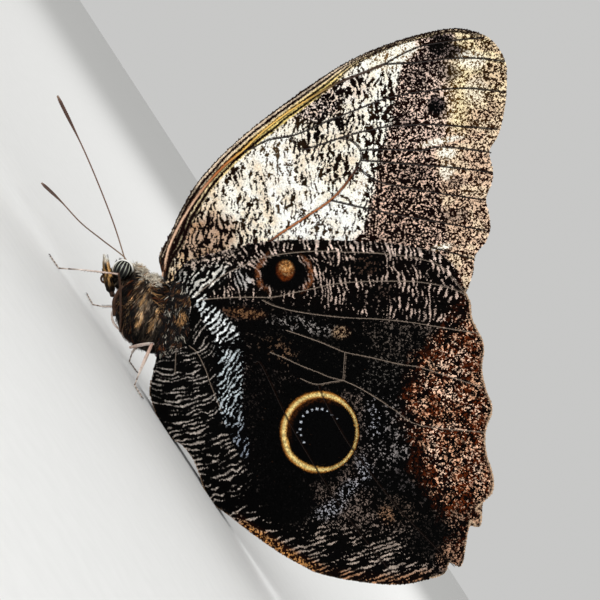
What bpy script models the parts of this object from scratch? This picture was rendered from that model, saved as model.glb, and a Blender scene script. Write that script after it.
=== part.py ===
"""Owl butterfly at rest with its wings closed over its back, life size.

The insect stands on the floor and faces -X, with +Z up and its left side towards -Y.
The model's origin is the centre of its bounding box at floor level. Lengths are in
millimetres in the insect's own frame: x runs backwards from the left middle foot, y
runs to its right from the mid plane, and z runs up from the floor.
"""

import math

import bpy
import numpy as np

MM = 0.001
X_SHIFT = -29.35
Y_SHIFT = -7.0
LEFT = -1
RIGHT = 1
SHARP_ANGLE = math.radians(40)

# Forewing: the outline runs from the root up the leading edge, round the tip, down
# the scalloped outer edge and back along the inner edge. The hub is the point inside
# the outline that the rings of the shell shrink towards.
FOREWING_ROOT = (11.8, 13.1)
FOREWING_HUB = (12.4, 14.2)
FOREWING_LEADING = (
    (9.0, 15.4), (6.4, 18.8), (3.4, 23.4), (0.7, 28.8), (-1.1, 35.3), (-2.3, 43.5),
    (-2.9, 53.0), (-3.0, 61.9), (-2.3, 67.9), (-1.0, 73.5), (0.7, 78.8), (2.6, 82.9),
)
FOREWING_TIP = ((5.1, 85.6), (7.8, 87.1), (10.6, 87.4), (13.1, 86.9), (15.4, 85.5))
FOREWING_OUTER = (
    (18.3, 83.4), (21.0, 80.9), (22.8, 78.8), (24.4, 75.9), (27.6, 74.6), (29.3, 73.3),
    (31.2, 70.8), (34.0, 69.6), (36.1, 68.5), (37.6, 66.6), (38.8, 63.6), (40.8, 61.8),
    (42.4, 60.0), (43.8, 57.6),
)
FOREWING_INNER = ((44.2, 54.8), (38.0, 46.0), (30.0, 35.5), (22.0, 25.0), (15.0, 15.4))

# Hindwing: up the leading edge, down the scalloped outer edge, and back along the
# lower edge, which touches the floor in two places.
HINDWING_ROOT = (17.4, 12.2)
HINDWING_HUB = (17.2, 13.2)
HINDWING_LEADING = (
    (14.2, 14.6), (11.9, 18.6), (12.4, 22.0), (14.0, 27.2), (15.6, 31.7), (18.6, 37.4),
    (23.4, 44.7), (29.6, 53.0), (35.2, 58.2), (39.4, 59.2), (43.2, 58.5),
)
HINDWING_OUTER = (
    (45.6, 58.1), (47.5, 57.0), (49.8, 56.6), (52.3, 56.3), (54.2, 55.3), (56.1, 53.7),
    (58.1, 52.7), (60.6, 51.9), (63.0, 51.4), (64.4, 50.3), (65.7, 48.5), (67.6, 46.9),
    (70.1, 45.7), (72.4, 45.1), (74.5, 44.3), (76.2, 42.8), (76.9, 40.4), (79.9, 38.0),
    (79.0, 36.2), (81.6, 33.7), (84.1, 31.1), (82.5, 29.8), (83.6, 27.8),
)
HINDWING_LOWER = (
    (83.0, 25.2), (81.0, 20.2), (76.6, 14.4), (71.5, 9.2), (68.1, 7.1), (64.0, 5.0),
    (58.4, 2.8), (53.4, 1.2), (50.6, 0.0), (48.0, 0.0), (45.4, 0.8), (42.0, 1.5),
    (38.6, 1.2), (36.2, 0.0), (33.0, 0.0), (29.6, 0.8), (26.7, 2.2), (21.4, 7.6),
)
WING_THICKNESS = 0.5
WING_RINGS = (0.12, 0.26, 0.46, 0.72, 1.0)
OUTLINE_STEPS = 2

# Lateral place of the middle of each wing. The forewings lie inside the hindwings,
# and both pairs spread round the thorax and abdomen.
FOREWING_LATERAL = 0.45
FOREWING_ROOT_SPREAD = 2.2
FOREWING_SPREAD_REACH = 16.0
HINDWING_LATERAL = 1.35
HINDWING_BODY_SPREAD = 3.2
HINDWING_SPREAD_START = 4.0
HINDWING_SPREAD_END = 19.0
HINDWING_TUCK = 1.3
HINDWING_TUCK_HEIGHT = 6.0
BODY_LINE_FRONT = (16.0, 11.5)
BODY_LINE_REAR = (44.0, 6.0)

# Body pieces, front to rear: x, height of the middle, half height and half width.
HEAD_STATIONS = (
    (4.9, 9.0, 1.0, 0.75), (5.6, 8.8, 1.8, 1.0), (6.8, 8.7, 2.3, 1.1),
    (8.1, 9.0, 2.8, 1.1), (8.9, 9.3, 2.6, 1.05),
)
HEAD_POLES = ((4.5, 9.1), (9.25, 9.5))
THORAX_STATIONS = (
    (9.9, 9.5, 2.6, 2.0), (10.8, 9.3, 3.9, 3.0), (12.5, 9.0, 4.8, 3.9),
    (15.5, 8.6, 5.4, 4.3), (18.4, 8.6, 5.0, 3.9), (20.8, 8.6, 3.9, 3.1),
    (22.2, 8.5, 2.5, 2.0),
)
THORAX_POLES = ((9.55, 9.5), (22.7, 8.5))
ABDOMEN_STATIONS = (
    (23.4, 8.5, 1.8, 1.6), (24.8, 8.5, 2.9, 2.6), (28.0, 8.3, 3.5, 3.1),
    (33.0, 7.9, 3.5, 3.2), (38.0, 7.3, 3.1, 2.8), (42.5, 6.8, 2.4, 2.1),
    (45.6, 6.5, 1.5, 1.3),
)
ABDOMEN_POLES = ((23.0, 8.5), (47.0, 6.4))
BODY_SIDES = 14
BODY_SQUARENESS = 2.2

# Each eye is a dome on the flat side of the head.
EYE_CENTRE = (6.5, 9.1)
EYE_RADIUS = 2.0
EYE_SPHERE_LATERAL = 1.2
EYE_FACE_LATERAL = 1.4
EYE_SIDES = 20
EYE_RINGS = 6

# Mouthparts and feelers, as points (x, outwards, z) with a radius at each.
PALP_PATH = ((9.6, 1.15, 4.5), (6.6, 1.15, 5.7), (4.6, 1.15, 6.6), (2.8, 1.0, 7.6))
PALP_RADII = (0.5, 0.6, 0.55, 0.28)
PROBOSCIS_CENTRE = (5.9, 5.5)
PROBOSCIS_INNER = 0.33
PROBOSCIS_PITCH = 0.56
PROBOSCIS_TURNS = 1.5
PROBOSCIS_RADIUS = 0.23
PROBOSCIS_RINGS = 20
ANTENNA_LEFT = ((4.6, 0.7, 10.5), (-2.6, 2.4, 12.6), (-14.0, 5.4, 15.0), (-25.3, 8.5, 16.6))
ANTENNA_RIGHT = ((4.6, 0.7, 10.4), (-1.0, 6.9, 8.3), (-6.1, 13.5, 6.4), (-12.1, 18.6, 5.1), (-17.3, 24.3, 3.6))
ANTENNA_STEPS = 8
ANTENNA_SHAFT_RADIUS = 0.26
ANTENNA_CLUB_RADIUS = 0.46
ANTENNA_CLUB_START = 0.66
ANTENNA_CLUB_FULL = 0.9
ANTENNA_TIP_START = 0.95
ANTENNA_TIP_TAPER = 0.55

# Legs, as points (x, outwards, z). The short front pair is folded against the body.
# The others are cut short at the knee and ankle, and bend before the foot lies flat.
FORELEG_PATH = ((12.4, 2.1, 3.0), (10.6, 2.9, 4.6), (9.6, 3.3, 6.0), (9.0, 3.2, 7.4))
FORELEG_RADII = (0.35, 0.5, 0.5, 0.3)
LEG_JOINTS = {
    "leg_mid_left": {
        "hip": (15.6, 1.7, 2.4), "knee": (7.0, 6.7, 8.4), "ankle": (2.7, 8.5, 3.2),
        "heel": (0.5, 9.4, 0.24), "toe": (-2.1, 10.2, 0.24),
    },
    "leg_mid_right": {
        "hip": (15.6, 1.7, 2.4), "knee": (11.1, 6.6, 4.1), "ankle": (9.5, 9.0, 1.6),
        "heel": (8.2, 10.2, 0.24), "toe": (6.0, 11.8, 0.24),
    },
    "leg_hind_left": {
        "hip": (18.9, 1.7, 2.4), "knee": (20.6, 6.7, 6.6), "ankle": (23.8, 8.5, 1.9),
        "heel": (25.1, 9.3, 0.24), "toe": (27.6, 10.3, 0.24),
    },
    "leg_hind_right": {
        "hip": (18.9, 1.7, 2.4), "knee": (18.5, 6.7, 5.0), "ankle": (19.6, 8.7, 1.7),
        "heel": (20.7, 9.7, 0.24), "toe": (23.1, 10.9, 0.24),
    },
}
KNEE_TRIM = 0.32
ANKLE_TRIM = 0.16
HEEL_BEND = (0.6, 0.5)
FEMUR_RADII = (0.42, 0.5, 0.36)
TIBIA_RADII = (0.34, 0.36, 0.3)
TARSUS_RADII = (0.27, 0.28, 0.28, 0.27)
LIMB_SIDES = 8

COLOURS = {
    "forewing": (0.42, 0.33, 0.24),
    "hindwing": (0.16, 0.11, 0.08),
    "thorax": (0.22, 0.14, 0.09),
    "abdomen": (0.24, 0.17, 0.11),
    "head": (0.24, 0.16, 0.10),
    "eye": (0.05, 0.04, 0.03),
    "palp": (0.42, 0.28, 0.15),
    "proboscis": (0.20, 0.10, 0.05),
    "antenna": (0.18, 0.11, 0.07),
    "leg": (0.38, 0.27, 0.20),
}


def smoothstep(low, high, value):
    """Eased rise from 0 at low to 1 at high: three times the square less twice the cube."""
    t = np.clip((value - low) / (high - low), 0.0, 1.0)
    return t * t * (3.0 - 2.0 * t)


def curve_through(points, steps, closed=False):
    """Catmull-Rom curve through points, with this many samples from each to the next."""
    points = np.array(points, float)
    if closed:
        before = np.roll(points, 1, axis=0)
        after = np.roll(points, -1, axis=0)
        beyond = np.roll(points, -2, axis=0)
        start = points
    else:
        padded = np.vstack([2 * points[0] - points[1], points, 2 * points[-1] - points[-2]])
        before, start, after, beyond = padded[:-3], padded[1:-2], padded[2:-1], padded[3:]
    t = (np.arange(steps) / steps)[None, :, None]
    before, start, after, beyond = (p[:, None, :] for p in (before, start, after, beyond))
    curve = 0.5 * (
        2 * start
        + (after - before) * t
        + (2 * before - 5 * start + 4 * after - beyond) * t**2
        + (3 * start - before - 3 * after + beyond) * t**3
    )
    curve = curve.reshape(-1, points.shape[1])
    if closed:
        return curve
    return np.vstack([curve, points[-1]])


def material(name, colour, roughness):
    """Principled material of one colour and roughness."""
    made = bpy.data.materials.new(name)
    made.use_nodes = True
    shader = made.node_tree.nodes["Principled BSDF"]
    shader.inputs["Base Color"].default_value = (*colour, 1.0)
    shader.inputs["Roughness"].default_value = roughness
    shader.inputs["Metallic"].default_value = 0.0
    return made


def signed_volume(vertices, faces):
    """Sum over the fan of each face of the tetrahedra it makes with the origin."""
    total = 0.0
    for face in faces:
        first = vertices[face[0]]
        for second, third in zip(face[1:-1], face[2:]):
            total += np.dot(first, np.cross(vertices[second], vertices[third]))
    return total


def add_solid(name, vertices, faces, colour, roughness=0.6):
    """One named object from points in the insect's frame, with its faces turned outwards."""
    vertices = np.asarray(vertices, float) + (X_SHIFT, Y_SHIFT, 0.0)
    if signed_volume(vertices, faces) < 0:
        faces = [tuple(reversed(face)) for face in faces]
    mesh = bpy.data.meshes.new(name)
    mesh.from_pydata((vertices * MM).tolist(), [], [tuple(face) for face in faces])
    mesh.validate()
    mesh.shade_smooth()
    mesh.set_sharp_from_angle(angle=SHARP_ANGLE)
    mesh.materials.append(material(name + "_finish", colour, roughness))
    made = bpy.data.objects.new(name, mesh)
    bpy.context.scene.collection.objects.link(made)
    return made


def ring_faces(rings, sides):
    """Quads between each ring of a stack and the next."""
    faces = []
    for ring in range(rings - 1):
        for side in range(sides):
            ahead = (side + 1) % sides
            low = ring * sides
            high = low + sides
            faces.append((low + side, low + ahead, high + ahead, high + side))
    return faces


def fan_faces(pole, first, sides):
    """Triangles from a pole to the ring that starts at first."""
    return [(pole, first + side, first + (side + 1) % sides) for side in range(sides)]


def superellipse(sides, squareness):
    """Unit closed outline whose coordinates' powers add up to 1."""
    angle = 2 * math.pi * (np.arange(sides) + 0.5) / sides
    cosine, sine = np.cos(angle), np.sin(angle)
    power = 2.0 / squareness
    return np.stack([np.sign(cosine) * abs(cosine) ** power, np.sign(sine) * abs(sine) ** power], 1)


def body_solid(name, stations, poles, colour):
    """Rings across x, each a superellipse of its station's half width and half height."""
    unit = superellipse(BODY_SIDES, BODY_SQUARENESS)
    points = []
    for x, middle, half_height, half_width in stations:
        ring = np.stack(
            [np.full(BODY_SIDES, x), unit[:, 0] * half_width, middle + unit[:, 1] * half_height], 1
        )
        points.extend(ring)
    last = len(points)
    points.append((poles[0][0], 0.0, poles[0][1]))
    points.append((poles[1][0], 0.0, poles[1][1]))
    faces = ring_faces(len(stations), BODY_SIDES)
    faces += [face[::-1] for face in fan_faces(last, 0, BODY_SIDES)]
    faces += fan_faces(last + 1, last - BODY_SIDES, BODY_SIDES)
    return add_solid(name, points, faces, colour)


def tube_rings(path, radii, sides):
    """Circles square to the path, turned so that one flat between corners faces down."""
    path = np.array(path, float)
    along = np.gradient(path, axis=0)
    along /= np.linalg.norm(along, axis=1)[:, None]
    across = np.cross(along, (0.0, 0.0, 1.0))
    across /= np.linalg.norm(across, axis=1)[:, None]
    lift = np.cross(across, along)
    angle = 2 * math.pi * (np.arange(sides) + 0.5) / sides
    cosine, sine = np.cos(angle)[None, :, None], np.sin(angle)[None, :, None]
    around = across[:, None] * cosine + lift[:, None] * sine
    return path[:, None] + around * np.array(radii, float)[:, None, None]


def tube_solid(name, path, radii, colour, side=RIGHT, floor=None):
    """Tapered tube with flat ends; nothing of it reaches below the floor."""
    rings = tube_rings(np.array(path) * (1, side, 1), radii, LIMB_SIDES)
    points = rings.reshape(-1, 3)
    if floor is not None:
        points[:, 2] = np.maximum(points[:, 2], floor)
    faces = ring_faces(len(path), LIMB_SIDES)
    faces.append(tuple(range(LIMB_SIDES))[::-1])
    faces.append(tuple(range(len(points) - LIMB_SIDES, len(points))))
    return add_solid(name, points, faces, colour)


def forewing_lateral(x, z):
    """Close to the mid plane, and eased outwards towards the root."""
    reach = np.hypot(x - FOREWING_ROOT[0], z - FOREWING_ROOT[1])
    return FOREWING_LATERAL + FOREWING_ROOT_SPREAD * (1 - smoothstep(0, FOREWING_SPREAD_REACH, reach))


def distance_to_body_line(x, z):
    """Distance in side view to the line down the middle of the thorax and abdomen."""
    front, rear = np.array(BODY_LINE_FRONT), np.array(BODY_LINE_REAR)
    run = rear - front
    t = ((x - front[0]) * run[0] + (z - front[1]) * run[1]) / np.dot(run, run)
    t = np.clip(t, 0, 1)
    return np.hypot(x - front[0] - t * run[0], z - front[1] - t * run[1])


def hindwing_lateral(x, z):
    """Just outside the forewing, swelling round the body and drawn in at the lower edge."""
    reach = distance_to_body_line(x, z)
    near_body = 1 - smoothstep(HINDWING_SPREAD_START, HINDWING_SPREAD_END, reach)
    tuck = HINDWING_TUCK * near_body * (1 - smoothstep(0, HINDWING_TUCK_HEIGHT, z))
    return HINDWING_LATERAL + HINDWING_BODY_SPREAD * near_body - tuck


def wing_solid(name, side, hub, outline, lateral, colour):
    """Thin shell in rings of the outline, each scaled down towards the hub."""
    outline = curve_through(outline, OUTLINE_STEPS, closed=True)
    outline[:, 1] = np.maximum(outline[:, 1], 0.0)
    hub = np.array(hub)
    rings = [hub + (outline - hub) * scale for scale in WING_RINGS]
    plane = np.vstack(rings + [hub[None, :]])
    middle = lateral(plane[:, 0], plane[:, 1])
    count = len(plane)
    points = []
    for offset in (WING_THICKNESS / 2, -WING_THICKNESS / 2):
        points.append(np.stack([plane[:, 0], side * (middle + offset), plane[:, 1]], 1))
    sides = len(outline)
    outer = ring_faces(len(WING_RINGS), sides) + [
        face[::-1] for face in fan_faces(count - 1, 0, sides)
    ]
    inner = [tuple(index + count for index in face[::-1]) for face in outer]
    edge = count - 1 - sides
    rim = []
    for index in range(sides):
        ahead = (index + 1) % sides
        rim.append((edge + index, edge + ahead, edge + ahead + count, edge + index + count))
    return add_solid(name, np.vstack(points), outer + inner + rim, colour)


def forewing(name, side):
    outline = (FOREWING_ROOT,) + FOREWING_LEADING + FOREWING_TIP + FOREWING_OUTER + FOREWING_INNER
    return wing_solid(name, side, FOREWING_HUB, outline, forewing_lateral, COLOURS["forewing"])


def hindwing(name, side):
    outline = (HINDWING_ROOT,) + HINDWING_LEADING + HINDWING_OUTER + HINDWING_LOWER
    return wing_solid(name, side, HINDWING_HUB, outline, hindwing_lateral, COLOURS["hindwing"])


def eye(name, side):
    """Dome cut from a sphere by the flat side of the head."""
    lift = EYE_FACE_LATERAL - EYE_SPHERE_LATERAL
    start = math.asin(lift / EYE_RADIUS)
    angle = 2 * math.pi * np.arange(EYE_SIDES) / EYE_SIDES
    points = []
    for ring in range(EYE_RINGS):
        rise = start + (math.pi / 2 - start) * ring / EYE_RINGS
        radius = EYE_RADIUS * math.cos(rise)
        lateral = EYE_SPHERE_LATERAL + EYE_RADIUS * math.sin(rise)
        x = EYE_CENTRE[0] + radius * np.cos(angle)
        z = EYE_CENTRE[1] + radius * np.sin(angle)
        points.extend(np.stack([x, np.full(EYE_SIDES, side * lateral), z], 1))
    pole = len(points)
    points.append((EYE_CENTRE[0], side * (EYE_SPHERE_LATERAL + EYE_RADIUS), EYE_CENTRE[1]))
    faces = ring_faces(EYE_RINGS, EYE_SIDES)
    faces += fan_faces(pole, pole - EYE_SIDES, EYE_SIDES)
    faces.append(tuple(range(EYE_SIDES))[::-1])
    return add_solid(name, points, faces, COLOURS["eye"], roughness=0.2)


def proboscis():
    """Flat spiral whose radius grows by one pitch a turn, coiled between the palps."""
    count = PROBOSCIS_RINGS
    angle = np.linspace(0, 2 * math.pi * PROBOSCIS_TURNS, count)
    reach = PROBOSCIS_INNER + PROBOSCIS_PITCH * angle / (2 * math.pi)
    path = np.stack(
        [
            PROBOSCIS_CENTRE[0] + reach * np.cos(angle),
            np.zeros(count),
            PROBOSCIS_CENTRE[1] + reach * np.sin(angle),
        ],
        1,
    )
    inward = np.stack([-np.cos(angle), np.zeros(count), -np.sin(angle)], 1)
    sideways = np.array((0.0, 1.0, 0.0))
    around = 2 * math.pi * (np.arange(LIMB_SIDES) + 0.5) / LIMB_SIDES
    rings = path[:, None] + PROBOSCIS_RADIUS * (
        inward[:, None] * np.cos(around)[None, :, None]
        + sideways[None, None] * np.sin(around)[None, :, None]
    )
    points = rings.reshape(-1, 3)
    faces = ring_faces(count, LIMB_SIDES)
    faces.append(tuple(range(LIMB_SIDES))[::-1])
    faces.append(tuple(range(len(points) - LIMB_SIDES, len(points))))
    return add_solid("proboscis", points, faces, COLOURS["proboscis"])


def antenna(name, side, path):
    """Slender shaft that thickens gradually into a club over its last third."""
    path = curve_through(path, ANTENNA_STEPS)
    share = np.linspace(0, 1, len(path))
    swell = smoothstep(ANTENNA_CLUB_START, ANTENNA_CLUB_FULL, share)
    club = swell * (1 - ANTENNA_TIP_TAPER * smoothstep(ANTENNA_TIP_START, 1.0, share))
    radii = ANTENNA_SHAFT_RADIUS + (ANTENNA_CLUB_RADIUS - ANTENNA_SHAFT_RADIUS) * club
    return tube_solid(name, path, radii, COLOURS["antenna"], side)


def towards(start, end, distance):
    """The point at this distance from start on the way to end."""
    start, end = np.array(start), np.array(end)
    return start + (end - start) * distance / np.linalg.norm(end - start)


def leg(name, side, joints):
    """Three segments, each cut short of its joints; the last lies flat on the floor."""
    hip, knee, ankle = (np.array(joints[key]) for key in ("hip", "knee", "ankle"))
    heel, toe = (np.array(joints[key]) for key in ("heel", "toe"))
    upper = towards(knee, hip, KNEE_TRIM)
    femur = (hip, (hip + upper) / 2, upper)
    lower = towards(knee, ankle, KNEE_TRIM)
    end = towards(ankle, knee, ANKLE_TRIM)
    tibia = (lower, (lower + end) / 2, end)
    bend = (towards(heel, ankle, HEEL_BEND[0]), towards(heel, toe, HEEL_BEND[1]))
    tarsus = (towards(ankle, heel, ANKLE_TRIM), *bend, toe)
    tube_solid(f"{name}_femur", femur, FEMUR_RADII, COLOURS["leg"], side)
    tube_solid(f"{name}_tibia", tibia, TIBIA_RADII, COLOURS["leg"], side)
    tube_solid(f"{name}_tarsus", tarsus, TARSUS_RADII, COLOURS["leg"], side, floor=0.0)


def clear_scene():
    for old in list(bpy.data.objects):
        bpy.data.objects.remove(old, do_unlink=True)


clear_scene()
body_solid("head", HEAD_STATIONS, HEAD_POLES, COLOURS["head"])
body_solid("thorax", THORAX_STATIONS, THORAX_POLES, COLOURS["thorax"])
body_solid("abdomen", ABDOMEN_STATIONS, ABDOMEN_POLES, COLOURS["abdomen"])
proboscis()
for side_name, side_sign in (("left", LEFT), ("right", RIGHT)):
    eye(f"eye_{side_name}", side_sign)
    tube_solid(f"palp_{side_name}", PALP_PATH, PALP_RADII, COLOURS["palp"], side_sign)
    tube_solid(f"foreleg_{side_name}", FORELEG_PATH, FORELEG_RADII, COLOURS["palp"], side_sign)
    forewing(f"forewing_{side_name}", side_sign)
    hindwing(f"hindwing_{side_name}", side_sign)
antenna("antenna_left", LEFT, ANTENNA_LEFT)
antenna("antenna_right", RIGHT, ANTENNA_RIGHT)
for leg_name, leg_joints in LEG_JOINTS.items():
    leg(leg_name, LEFT if leg_name.endswith("left") else RIGHT, leg_joints)
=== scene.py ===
"""Looks of an owl butterfly resting with its wings closed over its back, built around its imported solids."""
import math

import bpy
import numpy as np
from mathutils import Matrix


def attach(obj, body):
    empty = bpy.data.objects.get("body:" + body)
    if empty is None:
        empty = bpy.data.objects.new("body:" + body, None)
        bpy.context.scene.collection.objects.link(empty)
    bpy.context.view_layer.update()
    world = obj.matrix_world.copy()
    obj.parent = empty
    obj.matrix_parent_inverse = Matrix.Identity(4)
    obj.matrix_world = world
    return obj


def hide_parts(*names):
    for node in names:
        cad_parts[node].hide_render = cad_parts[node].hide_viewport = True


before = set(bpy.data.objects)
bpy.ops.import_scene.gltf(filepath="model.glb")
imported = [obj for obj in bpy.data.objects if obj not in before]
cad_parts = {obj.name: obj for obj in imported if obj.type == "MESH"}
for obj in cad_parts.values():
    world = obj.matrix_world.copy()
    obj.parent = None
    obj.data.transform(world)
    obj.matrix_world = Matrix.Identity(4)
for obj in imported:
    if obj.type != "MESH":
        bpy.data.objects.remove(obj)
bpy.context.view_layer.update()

# Camera: level, square to the closed wings, 0.4 m off the near wing, and rolled so that the
# insect, which stands flat on the floor here, climbs to the upper right as it does on its perch.
ROLL = math.radians(57.0)
VIEW_CENTRE_X = -0.00095
VIEW_CENTRE_Z = 0.0329
CAMERA_Y = -0.4076
LENS_MM = 133.0
picture_right = np.array((math.cos(ROLL), 0.0, math.sin(ROLL)))
picture_up = np.array((-math.sin(ROLL), 0.0, math.cos(ROLL)))
towards_camera = np.array((0.0, -1.0, 0.0))


def turned(right, up, back, place):
    """World matrix with these three axes as its columns, at a place."""
    matrix = np.eye(4)
    matrix[:3] = np.column_stack([right, up, back, place])
    return Matrix(matrix.tolist())


def add_object(name, data):
    """New object with this data, linked to the scene."""
    item = bpy.data.objects.new(name, data)
    bpy.context.scene.collection.objects.link(item)
    return item


camera_data = bpy.data.cameras.new("camera")
camera_data.lens = LENS_MM
camera_data.sensor_width = 36.0
camera_data.clip_start = 0.01
camera_data.clip_end = 20.0
camera = add_object("camera", camera_data)
camera_place = (VIEW_CENTRE_X, CAMERA_Y, VIEW_CENTRE_Z)
camera.matrix_world = turned(picture_right, picture_up, towards_camera, camera_place)
bpy.context.scene.camera = camera

# Studio light: three large soft panels, the brightest high on the picture's upper left, and a pale
# surround that fills the shadows. Each panel has a direction, distance, size (m) and power (W).
LIGHTS = {
    "key_panel": (0.85 * picture_up - 0.15 * picture_right + 1.0 * towards_camera, 0.75, 0.45, 3.6),
    "fill_panel": (0.75 * picture_right - 0.05 * picture_up + 1.1 * towards_camera, 0.80, 0.60, 1.2),
    "back_panel": (np.array((0.3, 1.0, 0.8)), 0.80, 0.60, 2.4),
}
for light_name, (direction, distance, size, watts) in LIGHTS.items():
    light_data = bpy.data.lights.new(light_name, "AREA")
    light_data.shape = "SQUARE"
    light_data.size = size
    light_data.energy = watts
    light = add_object(light_name, light_data)
    back = direction / np.linalg.norm(direction)
    right = np.cross((0.0, 0.0, 1.0), back)
    right = right / np.linalg.norm(right)
    light_place = back * distance + (0.0, 0.0, VIEW_CENTRE_Z)
    light.matrix_world = turned(right, np.cross(back, right), back, light_place)

surround = bpy.data.worlds.new("surround")
surround.use_nodes = True
surround_shader = surround.node_tree.nodes["Background"]
surround_shader.inputs["Color"].default_value = (0.80, 0.80, 0.79, 1.0)
surround_shader.inputs["Strength"].default_value = 0.72
bpy.context.scene.world = surround
bpy.context.scene.view_settings.view_transform = "Standard"

# Floor: a wide sheet of pale matt board under the insect, with a faint grain.
FLOOR_REACH = 3.0
FLOOR_CORNERS = ((-1, -1), (1, -1), (1, 1), (-1, 1))


def new_material(name, roughness, specular):
    """New node material with this roughness and reflectance, with its node tree and its shader."""
    material = bpy.data.materials.new(name)
    material.use_nodes = True
    shader = material.node_tree.nodes["Principled BSDF"]
    shader.inputs["Roughness"].default_value = roughness
    shader.inputs["Specular IOR Level"].default_value = specular
    return material, material.node_tree, shader


def add_node(tree, kind, values, feeds):
    """New shader node with these input values, and with these inputs fed from outputs of other nodes."""
    node = tree.nodes.new(kind)
    for name, value in values.items():
        node.inputs[name].default_value = value
    for name, output in feeds.items():
        tree.links.new(output, node.inputs[name])
    return node


def add_ramp(tree, feed, colours, places=(0.0, 1.0)):
    """Colour output of a new ramp from the first colour, at the first place, to the second."""
    ramp = add_node(tree, "ShaderNodeValToRGB", {}, {"Fac": feed})
    for element, colour, at in zip(ramp.color_ramp.elements, colours, places):
        element.position = at
        element.color = (*colour, 1.0)
    return ramp.outputs["Color"]


floor_mesh = bpy.data.meshes.new("floor")
floor_mesh.from_pydata([(FLOOR_REACH * x, FLOOR_REACH * y, 0) for x, y in FLOOR_CORNERS], [],
                       [(0, 1, 2, 3)])
floor = add_object("floor", floor_mesh)
board, board_tree, board_shader = new_material("pale_board", 0.9, 0.2)
board_place = board_tree.nodes.new("ShaderNodeTexCoord").outputs["Object"]
board_grain = add_node(board_tree, "ShaderNodeTexNoise", {"Scale": 260.0}, {"Vector": board_place})
board_tint = add_ramp(board_tree, board_grain.outputs["Fac"], ((0.74, 0.74, 0.73), (0.80, 0.80, 0.79)))
board_tree.links.new(board_tint, board_shader.inputs["Base Color"])
floor.data.materials.append(board)

# Wing membranes: two pairs of stiff chitin sheets a tenth of a millimetre thick, joined to the
# thorax at their roots and held shut over the back. The shape of each is its outline drawn in
# towards the wing root, and how far it stands out from the middle of the body depends on place.
# Sizes are in millimetres of the insect: x back from the head, z up, and outwards from the middle.
BODY_MIDDLE_X = 29.35
BODY_MIDDLE_Y = -7.0
LEFT = -1
RIGHT = 1
SIDES = {"left": LEFT, "right": RIGHT}


def place(x, outwards, z, side=LEFT):
    """Millimetres of the insect as metres of the model: less the middle of the body, over a thousand."""
    x, outwards, z = (np.asarray(value, float) for value in (x, outwards, z))
    return np.stack(np.broadcast_arrays(x - BODY_MIDDLE_X, side * outwards + BODY_MIDDLE_Y, z), -1) / 1000.0


def ease(low, high, value):
    """Eased rise from 0 at low to 1 at high: three times the square less twice the cube."""
    t = np.clip((value - low) / (high - low), 0.0, 1.0)
    return t * t * (3.0 - 2.0 * t)


def smooth_path(points, steps=6, closed=False):
    """Catmull-Rom curve through points, with this many samples from each to the next."""
    p = np.asarray(points, float)
    if closed:
        p = np.vstack([p[-1], p, p[0], p[1]])
    else:
        p = np.vstack([2 * p[0] - p[1], p, 2 * p[-1] - p[-2]])
    a, b, c, d = (q[:, None] for q in (p[:-3], p[1:-2], p[2:-1], p[3:]))
    t = (np.arange(steps) / steps)[None, :, None]
    curve = 0.5 * (2 * b + (c - a) * t + (2 * a - 5 * b + 4 * c - d) * t**2 + (3 * b - a - 3 * c + d) * t**3)
    curve = curve.reshape(-1, p.shape[1])
    return curve if closed else np.vstack([curve, p[-2]])


def path_distance(u, v, path):
    """Distance to the nearest stretch of a path, and the share of the path's length there."""
    path = np.asarray(path, float)
    lengths = np.hypot(*np.diff(path, axis=0).T)
    starts = np.concatenate([[0], np.cumsum(lengths)])
    best = np.full(np.shape(u), 1e9)
    share = np.zeros(np.shape(u))
    for (a, b), length, begin in zip(zip(path[:-1], path[1:]), lengths, starts):
        along = b - a
        t = np.clip(((u - a[0]) * along[0] + (v - a[1]) * along[1]) / length**2, 0, 1)
        d = np.hypot(u - a[0] - t * along[0], v - a[1] - t * along[1])
        nearer = d < best
        best = np.where(nearer, d, best)
        share = np.where(nearer, (begin + t * length) / starts[-1], share)
    return best, share


def inside(x, z, outline):
    """Whether each point lies in a closed outline: an odd number of its edges lie straight above."""
    odd = np.zeros(np.shape(x), bool)
    for (ax, az), (bx, bz) in zip(outline, np.roll(outline, -1, 0)):
        spans = (ax > x) != (bx > x)
        above = z < az + (bz - az) * (x - ax) / (bx - ax if bx != ax else 1e-9)
        odd ^= spans & above
    return odd


FOREWING_ROOT = (11.8, 13.1)
FOREWING_HUB = (12.4, 14.2)
FOREWING_OUTLINE = smooth_path((
    (9, 15.4), (6.4, 18.8), (3.4, 23.4), (0.7, 28.8), (-1.1, 35.3), (-2.3, 43.5), (-2.9, 53), (-3, 61.9),
    (-2.3, 67.9), (-1, 73.5), (0.7, 78.8), (2.6, 82.9), (5.1, 85.6), (7.8, 87.1), (10.6, 87.4),
    (13.1, 86.9),
    (15.4, 85.5), (18.3, 83.4), (21, 80.9), (22.8, 78.8), (24.4, 75.9), (27.6, 74.6), (29.3, 73.3),
    (31.2, 70.8),
    (34, 69.6), (36.1, 68.5), (37.6, 66.6), (38.8, 63.6), (40.8, 61.8), (42.4, 60), (43.8, 57.6),
    (44.2, 54.8),
    (38, 46), (30, 35.5), (22, 25), (15, 15.4)), 10, closed=True)
HINDWING_ROOT = (17.4, 12.2)
HINDWING_HUB = (17.2, 13.2)
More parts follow.
